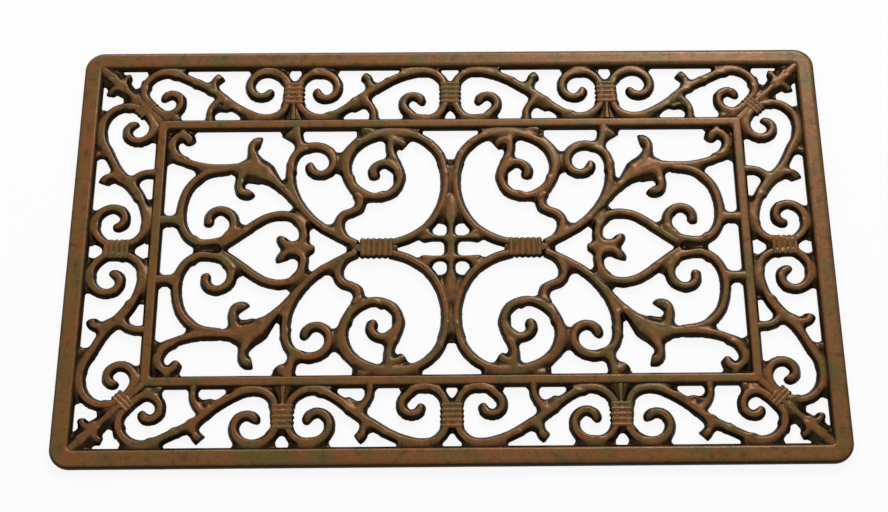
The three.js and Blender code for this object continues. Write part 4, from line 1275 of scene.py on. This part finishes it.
def iron_material(name):
    """Brown patina with worn reddish and olive tops, sides darkened with painted shade, concave corners
    near black with painted shade, and fine cast grain
    """
    colours = bpy.context.scene.mat_colours
    material, n = blank_material(name)
    warm, olive, dirt = (patches(n, *row) for row in IRON_PATCHES)
    grain = grouped(n, "Cast grain", grain_group, IRON_GRAIN)
    top = mix_colour(n, warm, colours.crown, colours.warm)
    top = mix_colour(n, olive, top, colours.olive)
    top = mix_colour(n, n.math("MULTIPLY", dirt, DIRT_SHARE), top, colours.side)
    # Mask that is 1 on worn tops and 0 on sides in painted shade
    worn = n.add("ShaderNodeAttribute", attribute_name="wear").outputs["Fac"]
    # Mask of concave creases that take painted shade
    crease_shade_mask = n.add("ShaderNodeAttribute", attribute_name="hollow").outputs["Fac"]
    ragged = n.math("MULTIPLY", n.math("SUBTRACT", grain["Height"], 0.5), FRAY_SHARE)
    wear = map_range(n, n.math("ADD", worn, ragged), WEAR_AND_SHADE_RANGE)
    # Sides take the dark side colour, a painted shade
    body = mix_colour(n, wear, colours.side, top)
    # Creases darken toward near black, a painted shade
    body_and_crease_shade = mix_colour(n, map_range(n, crease_shade_mask, CREASE_SHADE_RANGE), body, colours.hollow)
    speckle = map_range(n, grain["Speckle"], SPECKLE_RANGE)
    tone = n.out("ShaderNodeVectorMath", {0: body_and_crease_shade, "Scale": speckle}, operation="SCALE")
    shader = n.add(
        "ShaderNodeBsdfPrincipled",
        {
            "Base Color": tone,
            "Specular IOR Level": IRON_SPECULAR,
            "Metallic": map_range(n, wear, METAL_RANGE),
            "Roughness": map_range(n, grain["Height"], IRON_ROUGHNESS),
        },
    )
    finish_surface(n, shader, grain["Height"], IRON_BUMP)
    return material


def rubber_material(name):
    """Dull dark rubber with a fine speckle"""
    material, n = blank_material(name)
    grain = grouped(n, "Cast grain", grain_group, RUBBER_GRAIN)
    tint = mix_colour(n, grain["Speckle"], bpy.context.scene.mat_colours.rubber, RUBBER_SPECK)
    roughness = map_range(n, grain["Height"], RUBBER_ROUGHNESS)
    shader = n.add("ShaderNodeBsdfPrincipled", {"Base Color": tint, "Roughness": roughness})
    finish_surface(n, shader, grain["Height"], RUBBER_BUMP)
    return material


def floor_material():
    """Pale matt floor that shows nearly white to the camera and keeps the shadow"""
    material, n = blank_material("Pale floor")
    colour = bpy.context.scene.mat_colours.floor
    tone = mix_colour(n, patches(n, *FLOOR_PATCHES), colour, FLOOR_CLOUD)
    shader = n.out("ShaderNodeBsdfDiffuse", {"Color": tone})
    glow = n.out("ShaderNodeEmission", {"Color": WHITE})
    seen = n.math("MULTIPLY", n.add("ShaderNodeLightPath").outputs["Is Camera Ray"], FLOOR_GLOW)
    both = n.out("ShaderNodeMixShader", {"Fac": seen, 1: shader, 2: glow})
    n.add("ShaderNodeOutputMaterial", {"Surface": both})
    return material


def studio_world(strength):
    """Plain white light all round, which shows as bright as the floor to the camera"""
    world = bpy.data.worlds.new("Studio")
    world.use_nodes = True
    back = world.node_tree.nodes["Background"]
    back.inputs["Color"].default_value = WHITE
    n = Nodes(world.node_tree)
    seen = n.add("ShaderNodeLightPath").outputs["Is Camera Ray"]
    n.join(map_range(n, seen, (0.0, 1.0, strength, SEEN_WORLD)), back.inputs["Strength"])
    return world


def scroll_stem(stem, low_curl, high_curl, place):
    """S-shaped stem of a border scroll, from the nose of one volute to the nose of the other"""
    low = curl_points(low_curl, place, sizes().band)[::-1]
    high = curl_points(high_curl, place, sizes().band)
    return bar(low + placed(stem, place) + high, sizes().bar_width, tips=(True, True))


def curled_stem(stem, curl):
    """A stem of the field that winds into a volute"""
    points = placed(stem, field_point) + curl_points(curl, field_point, field_reach()[1])[1:]
    return bar(points, sizes().bar_width, tips=(False, True))


def set_bars(rows, x=0.0, y=0.0):
    """The bars of a table in metres, set at a place"""
    return [
        bar([(at_x + x, at_y + y) for at_x, at_y in line], width, widths, height=height)
        for line, width, widths, height in rows
    ]


def middle_scroll_bars():
    return [
        scroll_stem(MIDDLE_STEM, MIDDLE_LOW_CURL, MIDDLE_HIGH_CURL, middle_point),
        leaf(MIDDLE_UP_LEAF, middle_point, sizes().leaf_width),
        plain(MIDDLE_DOWN_LEAF, middle_point, sizes().leaf_width),
        *webs(MIDDLE_WEBS, middle_point),
    ]


def corner_scroll_bars():
    return [
        scroll_stem(CORNER_STEM, CORNER_LOW_CURL, CORNER_HIGH_CURL, corner_point),
        leaf(CORNER_UP_LEAF, corner_point, sizes().leaf_width),
        plain(CORNER_DOWN_LEAF, corner_point, sizes().leaf_width),
        *webs(CORNER_WEBS, corner_point),
    ]


def side_scroll_bars():
    return [
        scroll_stem(SIDE_STEM, SIDE_LOW_CURL, SIDE_HIGH_CURL, side_point),
        leaf(SIDE_OUTER_LEAF, side_point, sizes().leaf_width),
        plain(SIDE_INNER_LEAF, side_point, sizes().leaf_width * SIDE_INNER_LEAF_SHARE),
        *webs(SIDE_WEBS, side_point),
    ]


def finial_bars():
    stem = placed(FINIAL_STEM, finial_point)
    return [
        bar(stem, sizes().bar_width, FINIAL_STEM_WIDTHS),
        bar(stem, sizes().bar_width, FINIAL_WEB_WIDTHS, height=sizes().web_height),
        leaf(FINIAL_LEFT_PETAL, finial_point, sizes().leaf_width * PETAL_SHARE),
        leaf(FINIAL_RIGHT_PETAL, finial_point, sizes().leaf_width * PETAL_SHARE),
    ]


def ring_bars():
    width = sizes().bar_width
    web_height = sizes().rail_height * RING_WEB_HEIGHT
    return [
        plain(RING_STEM, field_point, width),
        plain(RING_NECK, field_point, width),
        bar(placed(RING_WEB, field_point), width, RING_WEB_WIDTHS, height=web_height),
        *webs(RING_WEBS, field_point),
        leaf(RING_HOOK, field_point, width, nose=True),
        leaf(RING_LEAF, field_point, sizes().leaf_width),
    ]


def arch_bars():
    return [
        curled_stem(ARCH_STEM, ARCH_CURL),
        plain(ARCH_POST, field_point, sizes().bar_width),
        leaf(ARCH_LEAF, field_point, sizes().leaf_width),
        plain(LINK, field_point, sizes().link_width),
    ]


def tulip_bars():
    width = sizes().bar_width
    rise = sizes().rail_height + RIDGE_RISE
    ridges = [placed(line, field_point) for line in TULIP_RIDGES]
    return [
        bar(placed(TULIP_BODY, field_point), width, TULIP_BODY_WIDTHS),
        leaf(TULIP_UPPER_PETAL, field_point, width),
        leaf(TULIP_LOWER_PETAL, field_point, width),
        leaf(TULIP_STEM, field_point, width, nose=True),
        *webs(TULIP_WEBS, field_point),
        *(bar(ridge, RIDGE_WIDTH, RIDGE_WIDTHS, height=rise) for ridge in ridges),
    ]


def heart_bars():
    return [
        curled_stem(HEART_STEM, HEART_CURL),
        bar(placed(HEART_TIE, field_point), sizes().bar_width, HEART_TIE_WIDTHS),
        bar(placed(HEART_FORK, field_point), HEART_FORK_WIDTH, height=HEART_FORK_HEIGHT),
    ]


def trefoil_bars():
    width = sizes().bar_width
    nose = bar(placed(TREFOIL_NOSE, field_point), width, TREFOIL_NOSE_WIDTHS)
    side = plain(TREFOIL_SIDE, field_point, width)
    hook = leaf(TREFOIL_HOOK, field_point, sizes().leaf_width)
    return [nose, side, hook, *flipped([side, hook], 1, -1)]


def spine_bars():
    count = len(SPINE_WIDTHS)
    upright = [(0.0, (2 * i / (count - 1) - 1) * SPINE_REACH) for i in range(count)]
    bars = [bar(upright, SPINE_WIDTH, SPINE_WIDTHS)] + set_bars(SPINE_HUB)
    for side in (1, -1):
        bars += flipped(set_bars(SPINE_HALF), 1, side)
        for end in (1, -1):
            bars += flipped(set_bars(SPINE_QUARTER), end, side)
    return bars


class MESH_OT_mat_frames(bpy.types.Operator):
    """Cast the outer rim and the inner rail"""

    bl_idname = "mesh.mat_frames"
    bl_label = "Rim and rail"

    def execute(self, context):
        s = sizes()
        edges = RIM_OUTER_EDGE, RIM_INNER_EDGE
        section = worn_section(0.0, s.rim_width, s.rim_height, *edges, RIM_ROUNDING)
        rim = frame_mesh("outer_rim", section, s.rim_corner, RIM_INNER_CORNER)
        place_casting(rim, "outer_rim", 1)
        outset = s.rim_width + s.band
        section = worn_section(outset, s.rail_width, s.rail_height, RAIL_EDGE, RAIL_EDGE, RAIL_ROUNDING)
        rail = frame_mesh("inner_rail", section, *RAIL_CORNERS)
        for vertex in rail.vertices:
            ramp = min(max((abs(vertex.co.x) - RAIL_DRIFT_RAMP[0]) / RAIL_DRIFT_RAMP[1], 0.0), 1.0)
            vertex.co.x += math.copysign(s.rail_drift * ramp, vertex.co.x)
        place_casting(rail, "inner_rail", 2)
        return {"FINISHED"}


class MESH_OT_mat_border_scrolls(bpy.types.Operator):
    """Cast the scrolls and corner finials of the border, four of each"""

    bl_idname = "mesh.mat_border_scrolls"
    bl_label = "Border scrolls"

    def execute(self, context):
        middle, corner, side = middle_scroll_bars(), corner_scroll_bars(), side_scroll_bars()
        pieces = (
            ("middle_scroll", middle, flipped(middle, -1, 1) + corner, middle_point, MIDDLE_QUIET, 10),
            ("corner_scroll", corner, side, corner_point, CORNER_QUIET, 20),
            ("side_scroll", side, flipped(side, 1, -1), side_point, SIDE_QUIET, 30),
            ("corner_finial", finial_bars(), corner + side, finial_point, FINIAL_QUIET, 40),
        )
        for piece, bars, near, place, quiet, seed in pieces:
            casting = cast_bars(piece, bars, near, quiet_spots(place, quiet))
            place_copies(QUARTERS, (casting, piece, seed))
        return {"FINISHED"}


class MESH_OT_mat_field_scrolls(bpy.types.Operator):
    """Cast the rings, arches, tulips, hearts and trefoils of the field"""

    bl_idname = "mesh.mat_field_scrolls"
    bl_label = "Field scrolls"

    def execute(self, context):
        arch, tulip, heart, trefoil = arch_bars(), tulip_bars(), heart_bars(), trefoil_bars()
        quiet = quiet_spots(field_point, FIELD_QUIET)
        below = [(x, -y, radius, least) for x, y, radius, least in quiet]
        pieces = (
            ("ring_scroll", ring_bars(), arch, quiet, QUARTERS, 50),
            ("arch_scroll", arch, flipped(arch, 1, -1) + tulip + heart, quiet, QUARTERS, 60),
            ("tulip_branch", tulip, heart, quiet, QUARTERS, 70),
            ("heart_scroll", heart, trefoil + flipped(heart, 1, -1), quiet, QUARTERS, 80),
            ("trefoil", trefoil, arch + flipped(arch, 1, -1), quiet + below, ENDS, 90),
        )
        for piece, bars, near, spots, copies, seed in pieces:
            place_copies(copies, (cast_bars(piece, bars, near, spots), piece, seed))
        return {"FINISHED"}


class MESH_OT_mat_centre_cross(bpy.types.Operator):
    """Cast the cross in the middle of the field"""

    bl_idname = "mesh.mat_centre_cross"
    bl_label = "Centre cross"

    def execute(self, context):
        rings = []
        for side_x in (1, -1):
            for side_y in (1, -1):
                rings += flipped(ring_bars(), side_x, side_y)
        place_casting(cast_bars("centre_spine", spine_bars(), rings), "centre_spine", 95)
        return {"FINISHED"}


class MESH_OT_mat_collars(bpy.types.Operator):
    """Cast the banded collars that bind the stems"""

    bl_idname = "mesh.mat_collars"
    bl_label = "Collars"

    def execute(self, context):
        rail_x, rail_y = rail_reach()
        pitch = sizes().collar_pitch
        middle = rail_y + sizes().band / 2
        upright = math.pi / 2
        gussets = set_bars(BAY_GUSSETS, pitch, rail_y)
        bay = collar_mesh("bay_collar", (pitch, middle), upright, BORDER_BANDS, gussets)
        corner = collar_mesh(
            "corner_collar",
            (rail_x + CORNER_COLLAR_PLACE, rail_y + CORNER_COLLAR_PLACE),
            upright / 2,
            CORNER_BANDS,
            set_bars(CORNER_GUSSETS, rail_x, rail_y),
            CORNER_COLLAR_LENGTH,
        )
        mid = collar_mesh("mid_collar", (0.0, middle), upright, BORDER_BANDS)
        side = collar_mesh("side_collar", (rail_x + SIDE_COLLAR_PLACE, 0.0), 0.0, BORDER_BANDS)
        centre = collar_mesh(
            "centre_collar",
            (CENTRE_COLLAR_PLACE, 0.0),
            0.0,
            CENTRE_BANDS,
            set_bars(CENTRE_WEDGES),
            CENTRE_COLLAR_LENGTH,
            CENTRE_COLLAR_WIDTH,
        )
        place_copies(QUARTERS, (bay, "bay_collar", 100))
        place_copies(QUARTERS, (corner, "corner_collar", 110))
        place_copies(SIDES, (mid, "mid_collar", 120))
        place_copies(ENDS, (side, "side_collar", 130), (centre, "centre_collar", 140))
        return {"FINISHED"}


class MESH_OT_mat_studs(bpy.types.Operator):
    """Make the rubber studs under the rim"""

    bl_idname = "mesh.mat_studs"
    bl_label = "Rubber studs"

    def execute(self, context):
        x, y = sizes().length / 2 - STUD_INSET, sizes().width / 2 - STUD_INSET
        middle = sizes().width / 2 - sizes().rim_width / 2
        spots = {
            "front_left": (-x, -y), "front_middle": (0.0, -middle), "front_right": (x, -y),
            "back_left": (-x, y), "back_middle": (0.0, middle), "back_right": (x, y),
        }
        for spot, place in spots.items():
            node = f"rubber_stud_{spot}"
            mesh = turned_mesh(node, STUD_PROFILE, STUD_SIDES)
            mesh.transform(Matrix.Translation((*place, 0.0)))
            mesh.materials.append(made_once(bpy.data.materials, "Stud rubber", rubber_material))
            smooth_faces(mesh)
            piece = linked_object(node + "_moulded", mesh)
            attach(piece, BODY)
            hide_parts(node)
        return {"FINISHED"}


class SCENE_OT_mat_stage(bpy.types.Operator):
    """Set the floor, the lamps, the world and the camera"""

    bl_idname = "scene.mat_stage"
    bl_label = "Stage"

    def execute(self, context):
        scene = context.scene
        view = scene.mat_view
        corners = ((-1, -1), (1, -1), (1, 1), (-1, 1))
        places = [(x * FLOOR_REACH, y * FLOOR_REACH, 0.0) for x, y in corners]
        mesh = plain_mesh("stage_floor", places, [(0, 1, 2, 3)])
        mesh.materials.append(floor_material())
        floor = linked_object("stage_floor", mesh)
        for name, place, size, power in LAMPS:
            lamp = bpy.data.lights.new(name, "AREA")
            lamp.shape = "DISK"
            lamp.size = size
            lamp.energy = getattr(view, power)
            light = linked_object(name, lamp)
            light.location = place
            light.rotation_mode = "QUATERNION"
            light.rotation_quaternion = (-Vector(place)).to_track_quat("-Z", "Y")
        scene.world = studio_world(view.sky)
        lens = bpy.data.cameras.new("Camera")
        lens.lens = view.lens
        lens.sensor_width = SENSOR_WIDTH
        lens.shift_x = view.shift
        camera = linked_object("Camera", lens)
        camera.location = view.place
        camera.rotation_euler = Euler(view.turn, "XYZ")
        scene.camera = camera
        scene.view_settings.view_transform = "Standard"
        return {"FINISHED"}


OPERATORS = (
    SCENE_OT_mat_stage, MESH_OT_mat_frames, MESH_OT_mat_border_scrolls, MESH_OT_mat_field_scrolls,
    MESH_OT_mat_centre_cross, MESH_OT_mat_collars, MESH_OT_mat_studs,
)
GROUPS = {
    "mat_sizes": MatSizes, "casting_make": CastingMake, "mat_colours": MatColours, "mat_view": MatView,
}


class VIEW3D_PT_door_mat(bpy.types.Panel):
    """Lists the steps that build the door mat, and its sizes and looks"""

    bl_label = "Cast iron door mat"
    bl_space_type = "VIEW_3D"
    bl_region_type = "UI"
    bl_category = "Door mat"

    def draw(self, context):
        column = self.layout.column()
        for operator in OPERATORS:
            column.operator(operator.bl_idname)
        for key, group in GROUPS.items():
            for setting in group.__annotations__:
                column.prop(getattr(context.scene, key), setting)


def register():
    for item in (*GROUPS.values(), *OPERATORS, VIEW3D_PT_door_mat):
        bpy.utils.register_class(item)
    for key, group in GROUPS.items():
        setattr(bpy.types.Scene, key, PointerProperty(type=group))


def unregister():
    for key in GROUPS:
        delattr(bpy.types.Scene, key)
    for item in (VIEW3D_PT_door_mat, *OPERATORS, *GROUPS.values()):
        bpy.utils.unregister_class(item)


def main():
    register()
    bpy.ops.scene.mat_stage()
    bpy.ops.mesh.mat_frames()
    bpy.ops.mesh.mat_border_scrolls()
    bpy.ops.mesh.mat_field_scrolls()
    bpy.ops.mesh.mat_centre_cross()
    bpy.ops.mesh.mat_collars()
    bpy.ops.mesh.mat_studs()


if __name__ == "__main__":
    main()
